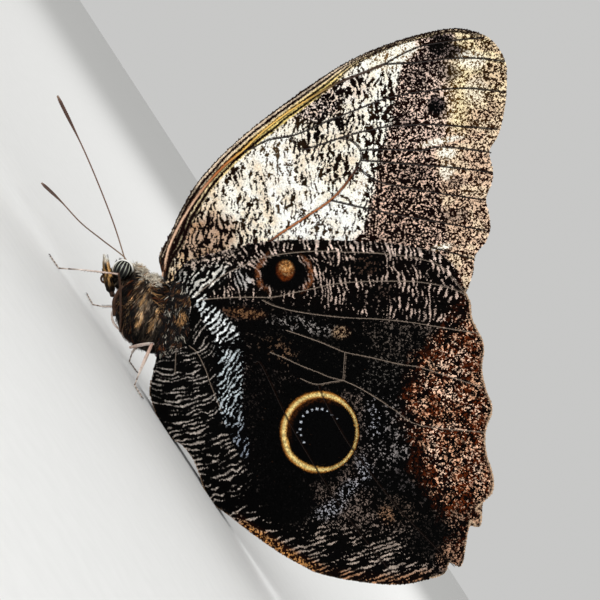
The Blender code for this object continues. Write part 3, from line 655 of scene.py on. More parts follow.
def hind_paint(u, v):
    """Hindwing underside: dark brown with pale ripples, rust edge, and two eyespots."""
    ragged = (rough(u / 1.6, v / 1.6, 111) - 0.5) * 2
    grain = spread(0.25 * noise(u / 0.45, v / 0.45, 121) + 0.75 * noise(u / 0.19, v / 0.19, 122), 0.5, 0.09)
    flecks = spread(0.4 * noise(u / 0.42, v / 0.42, 123) + 0.6 * noise(u / 0.21, v / 0.21, 124), 0.5, 0.085)
    du, dv = u - HIND_ROOT[0], v - HIND_ROOT[1]
    reach = np.hypot(du, dv) + 2.2 * (rough(u / 4.5, v / 4.5, 131) - 0.5)
    turn = np.arctan2(dv, du)

    def ripple(start, growth, wiggle, length, broken, seed):
        """Wavy lines across the wing, their pitch growing with distance from the root, broken at random."""
        phase = np.log(1 + growth * reach / start) / growth + wiggle * (rough(u / 1.3, v / 1.3, seed) - 0.5)
        wave = 0.5 + 0.5 * np.cos(2 * np.pi * phase)
        breaks = 0.65 * noise(phase, turn * reach / length, seed + 3)
        breaks = breaks + 0.35 * noise(u / 0.2, v / 0.2, seed + 4)
        return spread((1 - broken) * wave + broken * breaks, 0.5, 0.15)

    fine = ripple(0.52, 0.014, 1.1, 1.5, 0.43, 141)
    bars = ripple(0.64, 0.004, 1.3, 1.1, 0.57, 151)
    ember = spread(0.3 * noise(u / 0.5, v / 0.5, 125) + 0.7 * noise(u / 0.18, v / 0.18, 126), 0.5, 0.07)

    def bands(tilt, pitch, length, wiggle, seed):
        """Short leaning bars: a wavy cosine across the tilt, broken up by noise along it."""
        a = np.radians(tilt)
        along, across = u * np.cos(a) + v * np.sin(a), -u * np.sin(a) + v * np.cos(a)
        phase = across / pitch + wiggle * (rough(u / 1.2, v / 1.2, seed) - 0.5)
        wave = 0.5 + 0.5 * np.cos(2 * np.pi * phase)
        breaks = 0.38 * noise(phase * 1.3, along / length, seed + 1)
        return spread(0.50 * wave + breaks + 0.12 * grain, 0.5, 0.14)

    strokes = bands(48, 0.98, 1.5, 1.6, 161)
    chevrons = bands(56, 0.78, 1.2, 1.8, 171)
    blob = patches(u, v, ragged)
    # Black brown all over, with ripples over the inner third.
    fields = [(8, 3, 1), (112, 98, 90), 0.2, grain]
    inner = ease(1.8, -1.8, u - np.interp(v, (-46.8, -39.6, -30.6, -21.6, -10.8, -3.6),
                                          (24.12, 19.8, 16.56, 14.76, 14.04, 13.86)) + 0.6 * ragged)
    lay(fields, inner, (5, 3, 2), (174, 164, 156), 0.13, fine)
    lay(fields, inner * ease(-21.6, -28.8, v), (5, 3, 2), (176, 164, 154), 0.135, fine)
    # Bars cross the zone behind the leading edge.
    top = ease(-0.72, 0.72, v - np.interp(u, (3.96, 18.72, 25.56, 39.96, 50.76, 57.96),
                                          (-3.6, -3.6, -5.76, -7.02, -8.46, -9.54)))
    lay(fields, top, (10, 4, 2), (200, 176, 162), 0.23, bars)
    strip = ease(-0.36, 0.18, v - np.interp(u, (6.84, 11.52, 18.72, 23.76, 33.66, 45.36, 50.76, 54.9),
                                            (-2.88, 0.72, 3.96, 4.86, 5.04, 4.14, 2.52, -1.98)))
    lay(fields, strip, (12, 4, 2), (232, 208, 194), 0.27, bars)
    lay(fields, strip * ease(18.72, 10.26, u), (11, 4, 2), (186, 166, 152), 0.33, flecks)
    # Dark squares lie in that zone, with paler bars about them.
    for centre, size, tilt, strength in COSTAL_SQUARES:
        lay(fields, strength * blob(centre, size, tilt, 0.3), (5, 2, 1), (70, 54, 46), 0.14, flecks)
    for centre, size in (((45.72, 2.16), (3.6, 2.16)), ((45.36, -2.88), (2.88, 2.16)),
                         ((30.96, -2.88), (3.6, 2.52))):
        lay(fields, 0.6 * blob(centre, size, 0, 0.4), (10, 4, 2), (196, 172, 158), 0.27, bars)
    # The middle is brown black and mottled.
    for centre, size, tilt, ground, pale, share, texture in (
        ((28.8, -11.7), (15.12, 6.48), -14, (0, 0, 0), (44, 40, 36), 0.03, flecks),
        ((21.24, -12.96), (3.42, 2.34), -10, (5, 3, 1), (118, 92, 72), 0.19, flecks),
        ((25.56, -8.1), (6.12, 1.44), -10, (3, 2, 2), (132, 126, 122), 0.20, flecks),
        ((32.76, -9.36), (1.62, 1.08), 0, (24, 12, 6), (150, 124, 98), 0.45, flecks),
        ((43.56, -11.7), (8.28, 4.68), -12, (4, 2, 2), (84, 76, 70), 0.12, grain),
        ((40.86, -18.9), (6.48, 4.32), -25, (2, 2, 2), (80, 76, 72), 0.10, grain),
        ((42.12, -28.08), (4.68, 8.28), 0, (2, 2, 2), (132, 126, 124), 0.12, flecks),
        ((44.28, -37.08), (6.12, 4.32), -10, (1, 1, 1), (58, 54, 54), 0.10, flecks),
        ((13.68, -5.76), (5.4, 1.44), 0, (7, 4, 3), (74, 52, 40), 0.24, flecks),
        ((15.84, -5.94), (3.24, 0.9), -6, (26, 15, 9), (112, 82, 58), 0.36, grain)):
        lay(fields, blob(centre, size, tilt, 0.45), ground, pale, share, texture)
    # The outer part is rust brown.
    rust_at = np.interp(v, (-53.1, -45, -39.6, -34.2, -27, -21.6, -14.4, -9, -4.5),
                        (56.16, 52.92, 50.76, 46.8, 45, 44.28, 46.8, 51.84, 55.44))
    rust = ease(-2.6, 3.0, u - rust_at + 2.4 * ragged)
    cells = spread(rough(u / 1.9, v / 1.9, 181), 0.5, 0.07)
    lay(fields, rust, (12, 3, 1), (248, 200, 166), 0.085, ember)
    lay(fields, 0.8 * rust * ease(0.5, 0.85, cells), (9, 2, 1), (214, 156, 120), 0.075, ember)
    lay(fields, 0.7 * rust * ease(0.45, 0.15, cells), (22, 8, 4), (255, 218, 190), 0.125, ember)
    outer_d = path_distance(u, v, HIND_OUTER)[0]
    lay(fields, 0.9 * rust * ease(2.52, 0.72, outer_d), (16, 6, 3), (216, 172, 140), 0.12, ember)
    # Waves climb along the lower edge; the rear corner is dark.
    low_d = path_distance(u, v, HIND_LOWER)[0]
    shore = low_d + 1.6 * (rough(u / 3.5, v / 3.5, 191) - 0.5)
    rise = np.radians(24)
    along, across = u * np.cos(rise) + v * np.sin(rise), -u * np.sin(rise) + v * np.cos(rise)
    across = across + 1.1 * (rough(u / 1.4, v / 1.4, 192) - 0.5) + 0.25 * shore
    crests = 0.5 + 0.5 * np.cos(2 * np.pi * across / 0.92)
    breaks = 0.46 * noise(across / 0.8, along / 1.9, 195) + 0.18 * noise(u / 0.19, v / 0.19, 196)
    waves = spread(0.36 * crests + breaks, 0.5, 0.12)
    bottom = ease(16.2, 21.24, u) * ease(13.32, 9.36, low_d + 1.2 * ragged) * ease(50.76, 46.26, u)
    lay(fields, bottom * ease(11.52, 5.4, low_d), (6, 3, 2), (168, 152, 140), 0.25, waves)
    lay(fields, bottom * ease(2.52, 0.9, low_d), (16, 6, 3), (176, 130, 98), 0.24, waves)
    lay(fields, ease(1.98, 0.54, low_d) * ease(13.32, 15.84, u) * ease(30.96, 26.46, u), (34, 16, 7),
        (196, 138, 82), 0.30, grain)
    for centre, size, tilt, ground, pale, share in (
        ((48.96, -45.9), (4.68, 4.32), 30, (1, 1, 1), (40, 36, 34), 0.10),
        ((43.2, -41.04), (3.6, 2.52), 0, (3, 2, 2), (80, 68, 60), 0.16),
        ((41.04, -42.3), (1.26, 1.62), 20, (14, 8, 5), (130, 100, 78), 0.26),
        ((54, -41.76), (2.16, 2.88), -20, (10, 4, 2), (150, 118, 98), 0.16),
        ((52.56, -49.68), (2.16, 2.52), 0, (18, 7, 4), (166, 128, 104), 0.30)):
        lay(fields, blob(centre, size, tilt, 0.4), ground, pale, share, grain)
    # A black field lies round the large eyespot.
    black = blob((25.56, -27.36), (10.08, 10.8), 0, 0.25)
    black = np.maximum(black, blob((22.68, -37.8), (5.4, 8.28), 25, 0.3))
    black = np.maximum(black, blob((18.72, -21.6), (4.32, 9.36), -5, 0.3) * 0.9)
    lay(fields, black, (1, 1, 2), (22, 20, 20), 0.04, grain)
    # Bluish white flecks lie beyond the eyespot.
    for centre, size, tilt, share in BLUISH_PATCHES:
        lay(fields, 0.8 * blob(centre, size, tilt, 0.6), (2, 2, 3), (160, 162, 170), 0.7 * share, grain)
    # A blue white band runs down the inner side.
    band_d, band_s = path_distance(u, v, BAND_LINE)
    half = np.interp(band_s, (0.0, 0.15, 0.30, 0.50, 0.75, 1.0), (1.26, 1.8, 2.52, 2.52, 1.98, 1.08))
    band = 1 - ease(0.75, 1.15, band_d / half + 0.15 * ragged)
    lower = ease(0.28, 0.42, band_s)
    for weight, pale, share, texture in (
        (band * (1 - lower), (226, 230, 230), 0.30, strokes),
        (band * lower, (192, 202, 206), 0.27, chevrons),
        (band * ease(0.6, 0.95, band_s), (132, 140, 152), 0.18, chevrons)):
        lay(fields, weight, (1, 2, 5), pale, share, texture)
    # The base has black and white patches.
    zebra = blob((8.28, -0.18), (5.04, 2.34), 25, 0.4)
    lay(fields, zebra, (6, 4, 3), (212, 208, 200), 0.28, strokes)
    lay(fields, 0.9 * blob((4.5, -1.26), (1.44, 3.6), 0, 0.4), (4, 2, 1), (180, 178, 172), 0.24, chevrons)
    lay(fields, 0.9 * blob((15.12, 0.0), (1.8, 2.16), 10, 0.4), (6, 4, 3), (166, 164, 162), 0.30, bars)
    colour = scaled(fields) * (0.6 + 0.8 * noise(u / 0.9, v / 0.9, 199))[:, None]
    embers = ease(0.50, 0.62, noise(u / 0.22, v / 0.22, 197))
    embers = embers * ease(0.35, 0.65, rough(u / 1.3, v / 1.3, 198))
    colour = cover(colour, (172, 78, 34), 0.24 * rust * embers)
    # The small eyespot has a dark surround, a thin halo and an amber iris.
    spot = oval(u, v, (22.68, 1.62), (1.62, 1.8), 0) + 0.10 * ragged
    around = oval(u, v, (22.5, 1.08), (4.32, 3.6), -6) + 0.12 * ragged
    colour = cover(colour, (6, 5, 5), 1 - ease(0.85, 1.05, around))
    halo = (1 - ease(0.04, 0.16, np.abs(around - 1.12))) * ease(0.55, 0.9, np.abs(u - 22.68) / 4.32)
    colour = cover(colour, cover((30, 14, 8), (140, 86, 54), grain), halo * 0.8)
    bright = oval(u, v, (23.04, 2.52), (1.62, 1.8), 0)
    iris = cover((96, 46, 18), (196, 138, 80), ease(1.2, 0.1, bright) * 0.9)
    iris = cover(iris, (54, 26, 14), 0.75 * ease(0.62, 0.30, grain))
    iris = cover(iris, (236, 196, 140), 0.6 * ease(0.75, 0.95, flecks) * ease(1.2, 0.4, bright))
    colour = cover(colour, iris, 1 - ease(0.85, 1.15, spot))
    # The large eyespot is an amber ring, narrower on the outer side, about a pupil with a crescent of dots.
    du, dv = u - EYESPOT_CENTRE[0], v - EYESPOT_CENTRE[1]
    ring_r, ring_a = np.hypot(du, dv), np.arctan2(dv, du)
    outer_edge = EYESPOT_RADIUS - 0.13 * np.cos(2 * ring_a)
    facing = np.cos(ring_a - np.radians(-15))
    band = 1.19 - 0.58 * ease(-0.1, 0.9, facing)
    t = (outer_edge - ring_r) / band
    wobble = 0.12 * ragged
    ring = ease(-0.12, 0.1, t + wobble) * ease(1.12, 0.88, t + wobble)
    amber = cover((190, 128, 48), (250, 226, 150), ease(0.1, 0.5, t) * ease(1.0, 0.5, t) * 0.9 + 0.1)
    amber = amber * (0.50 + 0.62 * grain)[:, None] * (1 - 0.35 * ease(0.0, 0.9, facing))[:, None]
    shaded = ease(0.2, 0.9, np.cos(ring_a - np.radians(120)))
    amber = cover(amber, (136, 74, 28), ease(0.62, 1.0, t) * 0.75 * shaded)
    amber = cover(amber, (120, 62, 22), 0.7 * ease(0.22, 0.0, t))
    pupil = 1 - ease(0, 0.36, ring_r - outer_edge)
    colour = cover(colour, (4, 4, 5), pupil)
    colour = cover(colour, amber, ring)
    inner_glow = ease(1.0, 1.15, t) * ease(1.9, 1.2, t) * ease(0.1, 0.9, np.cos(ring_a - np.radians(125)))
    colour = cover(colour, (92, 52, 24), inner_glow * 0.55 * grain)
    for dot, size in EYESPOT_DOTS:
        spot = oval(u, v, dot, (0.85 * size, 0.85 * size))
        colour = cover(colour, (206, 212, 222), (1 - ease(0.45, 1.0, spot)) * 0.92)
    # A dark line runs inside the pale edge.
    edge_d = np.minimum(outer_d, path_distance(u, v, HIND_TOP)[0])
    colour = cover(colour, colour * 0.35, (1 - ease(0.27, 0.58, np.abs(edge_d - 0.43) + 0.18)) * 0.8)
    colour = cover(colour, (206, 176, 146), (1 - ease(0.11, 0.27, outer_d)) * (0.35 + 0.6 * grain))
    return colour


def hind_veins(colour, u, v):
    """Vein lines: thin and pale, two of them dark and wider where they cross the large eyespot."""
    for name, path in HIND_VEINS.items():
        crossing = name in EYESPOT_VEINS
        width = 0.13 if crossing else 0.06
        strength = 0.85 if crossing else 0.25 if name in ("anal", "inner") else 0.6
        line = 1 - ease(width * 0.6, width * 1.9, path_distance(u, v, smooth_path(path, 4))[0])
        colour = cover(colour, (24, 14, 8) if crossing else (120, 106, 94), strength * line)
    return colour


def within(value, low, high):
    """Share of the way from low to high, kept a hundredth inside the unit square."""
    return 0.01 + 0.98 * (value - low) / (high - low)


def bake_patch(u, v, corner_u, corner_v, size=0.003):
    """Places on the bake map: the root's own place in the unit square, and a patch's corners about it."""
    corners = (u[:, None] + size * (corner_u - 0.5), v[:, None] + size * (corner_v - 0.5))
    return np.stack(corners, -1).reshape(-1, 2)


def wing_scales(x, z, angle, length, width, lift, colour, outwards, face, side, seed, surface=0.05):
    """Overlapping wing scales: one quad each from a narrow root on the membrane to a wide raised tip."""
    random = np.random.default_rng(seed)
    count = len(x)
    dx, dz = np.cos(angle), np.sin(angle)
    half = width / 2
    roll = random.normal(0, 0.25, count) * half
    tip_x, tip_z = x + dx * length, z + dz * length
    base = face * surface
    root_out = outwards(x, z) + base + face * 0.004
    tip_out = outwards(tip_x, tip_z) + base + face * lift
    side_x, side_z = dz * half, dx * half
    corners_x = np.stack([x + side_x * 0.6, x - side_x * 0.6, tip_x - side_x, tip_x + side_x], 1)
    corners_z = np.stack([z - side_z * 0.6, z + side_z * 0.6, tip_z + side_z, tip_z - side_z], 1)
    corners_z = np.maximum(corners_z, 0.03)
    corners_out = np.stack([root_out, root_out, tip_out + roll, tip_out - roll], 1)
    points = place(corners_x, corners_out, corners_z, side).reshape(-1, 3)
    faces = np.arange(count * 4).reshape(-1, 4)
    if side * face < 0:
        faces = faces[:, ::-1]
    # Root corners at 0.82 and tip corners at 1.06 of the scale's pigment: painted shade at each root, which
    # the neighbouring scales cover, and painted light on the raised tip.
    shade = np.repeat(colour, 4, 0) * np.tile((0.82, 0.82, 1.06, 1.06), count)[:, None]
    bake_u, bake_v = within(x, x.min(), x.max() + 1e-6), within(z, z.min(), z.max() + 1e-6)
    bake = bake_patch(bake_u, bake_v, np.array((0, 1, 1, 0)), np.array((0, 0, 1, 1)))
    return points, faces, shade, bake


def scale_roots(pitch, outline, seed):
    """Roots in staggered rows over the outline's box, moved a little at random, kept if inside."""
    random = np.random.default_rng(seed)
    low, high = outline.min(0), outline.max(0)
    x, z = np.meshgrid(np.arange(low[0], high[0], pitch), np.arange(low[1], high[1], pitch * 0.9))
    x = x + (np.arange(len(x)) % 2)[:, None] * pitch / 2
    x = x.reshape(-1) + random.uniform(-0.32, 0.32, x.size) * pitch
    z = z.reshape(-1) + random.uniform(-0.32, 0.32, z.size) * pitch
    keep = inside(x, z, outline)
    return x[keep], z[keep]


def merged(shapes):
    """Points and both kinds of face of several shapes as one set."""
    offsets = np.cumsum([0] + [len(shape[0]) for shape in shapes[:-1]])
    faces = [np.vstack([shape[kind] + offset for shape, offset in zip(shapes, offsets)]) for kind in (1, 2)]
    return np.vstack([shape[0] for shape in shapes]), faces


def end_caps(rows, columns):
    """Triangles that close rows of points with two more, which follow them: one beyond each end."""
    a = np.arange(columns)
    b = (a + 1) % columns
    last, start = (rows - 1) * columns, rows * columns
    return np.vstack([np.stack([b, a, np.full(columns, start)], 1),
                      np.stack([a + last, b + last, np.full(columns, start + 1)], 1)])


def unit(vectors):
    """Vectors over their own length."""
    return vectors / (np.linalg.norm(vectors, axis=-1, keepdims=True) + 1e-12)


def square_to(along, path_along):
    """Two unit directions square to each direction: its cross product with a guide, and with the first."""
    guide = (0.0, 1.0, 0.05) if abs(path_along[:, 1]).mean() < 0.6 else (0.0, 0.1, 1.0)
    first = unit(np.cross(along, guide))
    return first, np.cross(along, first)


def tube(path, radii, sides):
    """Round tube: a circle of a radius in mm carried along the path, square to it, a point at each end.
    Its faces are reversed where a triple product shows that the first one looks inward."""
    radii = np.asarray(radii, float) / 1000.0
    along = unit(np.gradient(path, axis=0))
    first, second = square_to(along, along)
    turn = np.linspace(0, 2 * np.pi, sides, endpoint=False)
    ring = np.cos(turn)[None, :, None] * first[:, None] + np.sin(turn)[None, :, None] * second[:, None]
    points = (path[:, None] + radii[:, None, None] * ring).reshape(-1, 3)
    ends = path[0] - along[0] * radii[0] * 0.6, path[-1] + along[-1] * radii[-1] * 0.6
    points = np.vstack([points, *ends])
    quads, caps = grid_faces(len(path), sides), end_caps(len(path), sides)
    corner = points[quads[0]]
    if np.linalg.det(np.stack([corner[1] - corner[0], corner[3] - corner[0], corner[0] - path[0]])) < 0:
        quads, caps = quads[:, ::-1], caps[:, ::-1]
    return points, quads, caps


def ring_colours(shade, sides):
    """A tube's pigment from that of each ring, with its two end points last."""
    return np.vstack([np.repeat(shade, sides, 0), shade[:1], shade[-1:]])


scale_material = pigment_material("wing_scales", 0.62, 0.03, 2600.0, 0.20, 9000.0, 0.25)
membrane_material = pigment_material("wing_membrane", 0.45, 0.25, 900.0, 0.35, 4000.0, 0.4)
vein_material = pigment_material("wing_veins", 0.42, 0.30, 1500.0, 0.30, 5000.0, 0.4)
DORSAL_BROWN = tone(74, 50, 34)
DORSAL_BLUE = tone(52, 50, 70)


def dorsal_pigment(x, z, seed):
    """Inner face of the wings: warm brown, a little bluish towards the body, mottled."""
    mottle = rough(x / 3.0, z / 3.0, seed)[:, None]
    blue = ease(30, 8, np.hypot(x - 12, z - 13))[:, None]
    return (DORSAL_BROWN * (1 - 0.5 * blue) + DORSAL_BLUE * 0.5 * blue) * (0.6 + 0.8 * mottle)


def margin_roots(outline, reach, random, step=0.05, chord=0.4):
    """Places a step apart just inside the outer margin, with the angle square to it, away from the wing."""
    closed = np.vstack([outline, outline[:1]])
    lengths = np.concatenate([[0], np.cumsum(np.hypot(*np.diff(closed, axis=0).T))])
    even = np.arange(0, lengths[-1], step)
    (x, z), (ahead_x, ahead_z), (behind_x, behind_z) = (
        [np.interp(even + shift, lengths, closed[:, k]) for k in (0, 1)] for shift in (0.0, chord, -chord))
    area = (closed[:-1, 0] * closed[1:, 1] - closed[1:, 0] * closed[:-1, 1]).sum()
    angle = np.arctan2(ahead_z - behind_z, ahead_x - behind_x) - np.sign(area) * np.pi / 2
    u, v = to_plane(x, z)
    keep = reach(u, v)
    inward = random.uniform(0.10, 0.22, len(even))
    x, z = x - inward * np.cos(angle), z - inward * np.sin(angle)
    return x[keep], z[keep], angle[keep] + random.normal(0, 0.10, keep.sum())


# Scales in millimetres, on the outer faces and, coarser, on the inner ones; the right wings have
# fewer and broader ones.
SCALE_PITCH = 0.135
SCALE_LENGTH = 0.33
SCALE_WIDTH = 0.215
INNER_PITCH = 0.45
INNER_LENGTH = 0.62
INNER_WIDTH = 0.50
SCALES_IN_PIECE = 98000
RIGHT_SHARE = 0.66
RIGHT_WIDENING = 1.2
# Corners round the tube of a vein.
VEIN_SIDES = 6


def drawn(random, count, *ranges):
    """For each range, a random number for each piece: a size times an even draw from low to high."""
    return [size * random.uniform(low, high, count) for size, low, high in ranges]


def build_wing(kind, outline, hub, root, outwards, pigment, veins, vein_look, hidden, fringe_reach, seed):
    """Membrane, veins and scales of both wings of one pair, the right ones mirroring the left."""
    random = np.random.default_rng(seed)
    hub = np.array(hub)

    def add_scales(name, values, face, side, step):
        """One piece of scales on the outer or inner face."""
        points, faces, colours, bake = wing_scales(*values, outwards, face, side, seed + step)
        add_piece(name, points, faces, scale_material, colours, bake, smooth=False)

    def fan(x, z):
        """Directions away from the wing's root, a little scattered."""
        return np.arctan2(z - root[1], x - root[0]) + random.normal(0, 0.14, len(x))

    x, z = scale_roots(SCALE_PITCH, outline, seed)
    keep = ~hidden(x, z)
    x, z = x[keep], z[keep]
    angle = fan(x, z)
    length, width, lift = drawn(random, len(x), (SCALE_LENGTH, 0.8, 1.25), (SCALE_WIDTH, 0.8, 1.2),
                                (1, 0.03, 0.075))
    colour = pigment(*to_plane(x, z)) * random.normal(1.0, 0.16, len(x)).clip(0.5, 1.5)[:, None]
    inner_x, inner_z = scale_roots(INNER_PITCH, hub + 0.985 * (outline - hub), seed + 1)
    inner = [inner_x, inner_z, fan(inner_x, inner_z)]
    inner += drawn(random, len(inner_x), (INNER_LENGTH, 0.85, 1.2), (INNER_WIDTH, 0.85, 1.2),
                   (1, 0.03, 0.08))
    inner_shade = random.normal(1.0, 0.12, len(inner_x)).clip(0.6, 1.5)[:, None]
    inner.append(dorsal_pigment(inner_x, inner_z, seed) * inner_shade)
    fringe_x, fringe_z, fringe_angle = margin_roots(outline, fringe_reach, random)
    count = len(fringe_x)
    fringe_colour = pigment(*to_plane(fringe_x, fringe_z)) * 0.6
    fringe_colour = fringe_colour + tone(120, 96, 74) * random.uniform(0.3, 1.1, count)[:, None]
    fringe_sizes = drawn(random, count, (1, 0.28, 0.46), (1, 0.09, 0.15), (1, 0.0, 0.05))
    fringe = [fringe_x, fringe_z, fringe_angle, *fringe_sizes, fringe_colour]
    for side_name, side in SIDES.items():
        name = f"{kind}_{side_name}"
        points, faces, plane = wing_sheet(outline, hub, outwards, side)
        outer_face, inner_face = np.array_split(plane, 2)
        sheet_colour = [pigment(*to_plane(*outer_face.T)) * 0.8, dorsal_pigment(*inner_face.T, seed)]
        add_piece(f"{name}_membrane", points, faces, membrane_material, np.vstack(sheet_colour),
                  replaces=(name,))
        kept = np.arange(len(x))
        if side == RIGHT:
            kept = kept[random.uniform(0, 1, len(x)) < RIGHT_SHARE]
        outer = (x, z, angle, length, width * (1 if side == LEFT else RIGHT_WIDENING), lift, colour)
        for number, cut in enumerate(np.array_split(kept, 1 + len(kept) // SCALES_IN_PIECE)):
            add_scales(f"{name}_scales_{number + 1}", [values[cut] for values in outer], 1, side, 5)
        add_scales(f"{name}_inner_scales", inner, -1, side, 6)
        add_scales(f"{name}_fringe", fringe, 1, side, 7)
        shapes, colours = [], []
        for vein_name, vein in veins.items():
            curve = smooth_path(vein, 5)
            vein_x, vein_z = from_plane(*curve.T)
            radius, tint = vein_look(vein_name, np.linspace(0, 1, len(curve)))
            axis = place(vein_x, outwards(vein_x, vein_z) + 0.09, vein_z, side)
            shapes.append(tube(axis, radius, VEIN_SIDES))
            colours.append(ring_colours(tint, VEIN_SIDES))
        points, faces = merged(shapes)
        add_piece(f"{name}_veins", points, faces, vein_material, np.vstack(colours))


def forewing_vein_look(name, share):
    """Radius and pigment along a forewing vein: stems by their own tint, the rest thin and dark."""
    if name in FORE_STEMS:
        return (0.18 if name == "radial" else 0.15) - 0.06 * share, stem_tint(name, share)
    return 0.10 - 0.02 * share, np.tile(tone(22, 12, 8), (len(share), 1))


def hindwing_vein_look(name, share):
    """Radius and pigment along a hindwing vein: thin and pale, dark where it crosses the large eyespot."""
    hue = tone(24, 14, 8) if name in EYESPOT_VEINS else tone(142, 126, 112)
    return 0.055 - 0.015 * share, np.tile(hue, (len(share), 1))


def under_hindwing(x, z):
    """The part of the forewing's outer face that the hindwing covers, drawn in by 7 percent."""
    hub = np.array(HINDWING_HUB)
    return inside(x, z, hub + 0.93 * (HINDWING_OUTLINE - hub))


def nowhere(x, z):
    """No part of the wing."""
    return np.zeros(len(x), bool)


def forewing_fringe(u, v):
    """The forewing margin from the tip to the hindwing, clear of the leading edge."""
    return (u > 58.5) & (v > -3.0)


def hindwing_fringe(u, v):
    """The hindwing margin from the forewing round to the inner fold, clear of the base."""
    return (v < -1.5) & (np.hypot(u, v + 4.0) > 14.0)


def forewing_pigment(u, v):
    """Forewing markings with their vein lines."""
    return fore_veins(fore_paint(u, v), u, v)


def hindwing_pigment(u, v):
    """Hindwing markings with their vein lines."""
    return hind_veins(hind_paint(u, v), u, v)


build_wing("forewing", FOREWING_OUTLINE, FOREWING_HUB, FOREWING_ROOT, forewing_outwards, forewing_pigment,
           FORE_VEINS, forewing_vein_look, under_hindwing, forewing_fringe, 101)
build_wing("hindwing", HINDWING_OUTLINE, HINDWING_HUB, HINDWING_ROOT, hindwing_outwards, hindwing_pigment,
           HIND_VEINS, hindwing_vein_look, nowhere, hindwing_fringe, 201)

# Body: head, thorax and abdomen in one soft-walled skin of dark chitin, drawn in by the depth of
# its coat, with the mouth feelers and the folded front legs growing from it. The skin is a closed
# tube whose superellipse cross-sections follow a smooth curve of middle height, half height and
# half width along the body.
COAT_DEPTH = 0.30
BODY_POWER = 2.2
BODY_STATIONS = smooth_path((
    (4.9, 9.0, 1.0, 0.75), (5.6, 8.8, 1.8, 1.0), (6.8, 8.7, 2.3, 1.1), (8.1, 9.0, 2.8, 1.15),
    (8.9, 9.3, 2.6, 1.2),
    (9.9, 9.4, 2.7, 2.0), (10.8, 9.3, 3.9, 3.0), (12.5, 9.0, 4.8, 3.9), (15.5, 8.6, 5.4, 4.3),
    (18.4, 8.6, 5.0, 3.9),
    (20.8, 8.6, 3.9, 3.1), (22.2, 8.5, 2.5, 2.0), (23.4, 8.5, 1.9, 1.65), (24.8, 8.5, 2.9, 2.6),
    (28.0, 8.3, 3.5, 3.1),
    (33.0, 7.9, 3.5, 3.2), (38.0, 7.3, 3.1, 2.8), (42.5, 6.8, 2.4, 2.1), (45.6, 6.5, 1.5, 1.3)), 8)
BODY_START = 4.9
BODY_END = 45.6


def body_size(along, column):
    """Middle height, half height or half width of the body at this distance along."""
    return np.interp(along, BODY_STATIONS[:, 0], BODY_STATIONS[:, column])


def body_point(along, turn):
    """Point of the skin: a superellipse at this distance along, at this angle up from the left side."""
    high, wide = body_size(along, 2) - COAT_DEPTH, body_size(along, 3) - COAT_DEPTH
    c, s = np.cos(turn), np.sin(turn)
    out = wide * np.sign(c) * np.abs(c) ** (2 / BODY_POWER)
    up = high * np.sign(s) * np.abs(s) ** (2 / BODY_POWER)
    return place(along, out, body_size(along, 1) + up)


def body_normal(along, turn):
    """Outward direction of the skin: across its two tangents, measured over small steps."""
    ahead = body_point(along + 0.05, turn) - body_point(along - 0.05, turn)
    around = body_point(along, turn + 0.02) - body_point(along, turn - 0.02)
    return unit(np.cross(ahead, around))


# Tan locks on the side of the thorax and head, as middle lines on the wing plane with their widths.
TAN_LOCKS = (
    (((-1.4, 1.4), (-3.2, -0.9), (-4.5, -3.6), (-5.4, -6.8)), 0.44),
    (((0.0, 0.0), (-1.4, -1.8), (-2.2, -4.5), (-3.2, -7.2)), 0.46),
    (((-3.4, -1.6), (-2.6, -3.2), (-1.7, -4.0)), 0.34),
    (((-5.2, 0.0), (-6.1, -1.6), (-6.5, -2.9)), 0.38),
    (((1.2, -2.9), (0.2, -5.4), (-1.0, -8.1)), 0.30),
    (((4.3, -4.9), (4.0, -7.6)), 0.55),
)


def body_pigment(x, z, seed):
    """Hair pigment: streaked tan locks with rusty edges down the side, near-black between, dark belly, and
    painted shade in slanting streaks between the locks.
    """
    u, v = to_plane(x, z)
    wobble = 1.0 * (rough(u / 0.9, v / 0.9, seed) - 0.5)
    tan = np.zeros(len(x))
    rust = np.zeros(len(x))
    for line, width in TAN_LOCKS:
        distance = path_distance(u + wobble, v, smooth_path(line, 4))[0]
        tan = np.maximum(tan, 1 - ease(width * 0.6, width * 1.4, distance))
        rust = np.maximum(rust, 1 - ease(width * 1.2, width * 2.6, distance))
    strand = spread(noise((u - 0.35 * v) / 0.24, v / 0.8, seed + 3), 0.52, 0.07)
    fleck = spread(noise(u / 0.2, v / 0.3, seed + 5), 0.62, 0.05)
    outside_gap_shade = spread(noise((u - 0.35 * v) / 0.36, v / 1.3, seed + 9), 0.47, 0.05)
    colour = cover((6, 5, 4), (66, 46, 32), 0.26 * strand)
    colour = cover(colour, (96, 56, 32), rust * (0.10 + 0.5 * strand))
    colour = cover(colour, (240, 186, 124), tan * (0.03 + 0.97 * strand))
    base = ease(0.6, 2.4, u) * ease(-9.5, -7.0, v)
    colour = cover(colour, (150, 112, 84), base * strand * 0.8)
    colour = cover(colour, (206, 184, 156), 0.60 * fleck * (0.3 + 0.7 * rust))
    # Outside the tan locks, slanting streaks drop to 0.12 of the pigment: painted shade in the gaps between
    # the locks.
    return colour * (0.12 + 0.88 * np.maximum(outside_gap_shade, 0.8 * tan))[:, None]


body_skin_material = pigment_material("body_skin", 0.40, 0.25, 1400.0, 0.45, 5200.0, 0.5)
body_hair_material = pigment_material("body_hair", 0.52, 0.12, 1900.0, 0.25, 7000.0, 0.3)

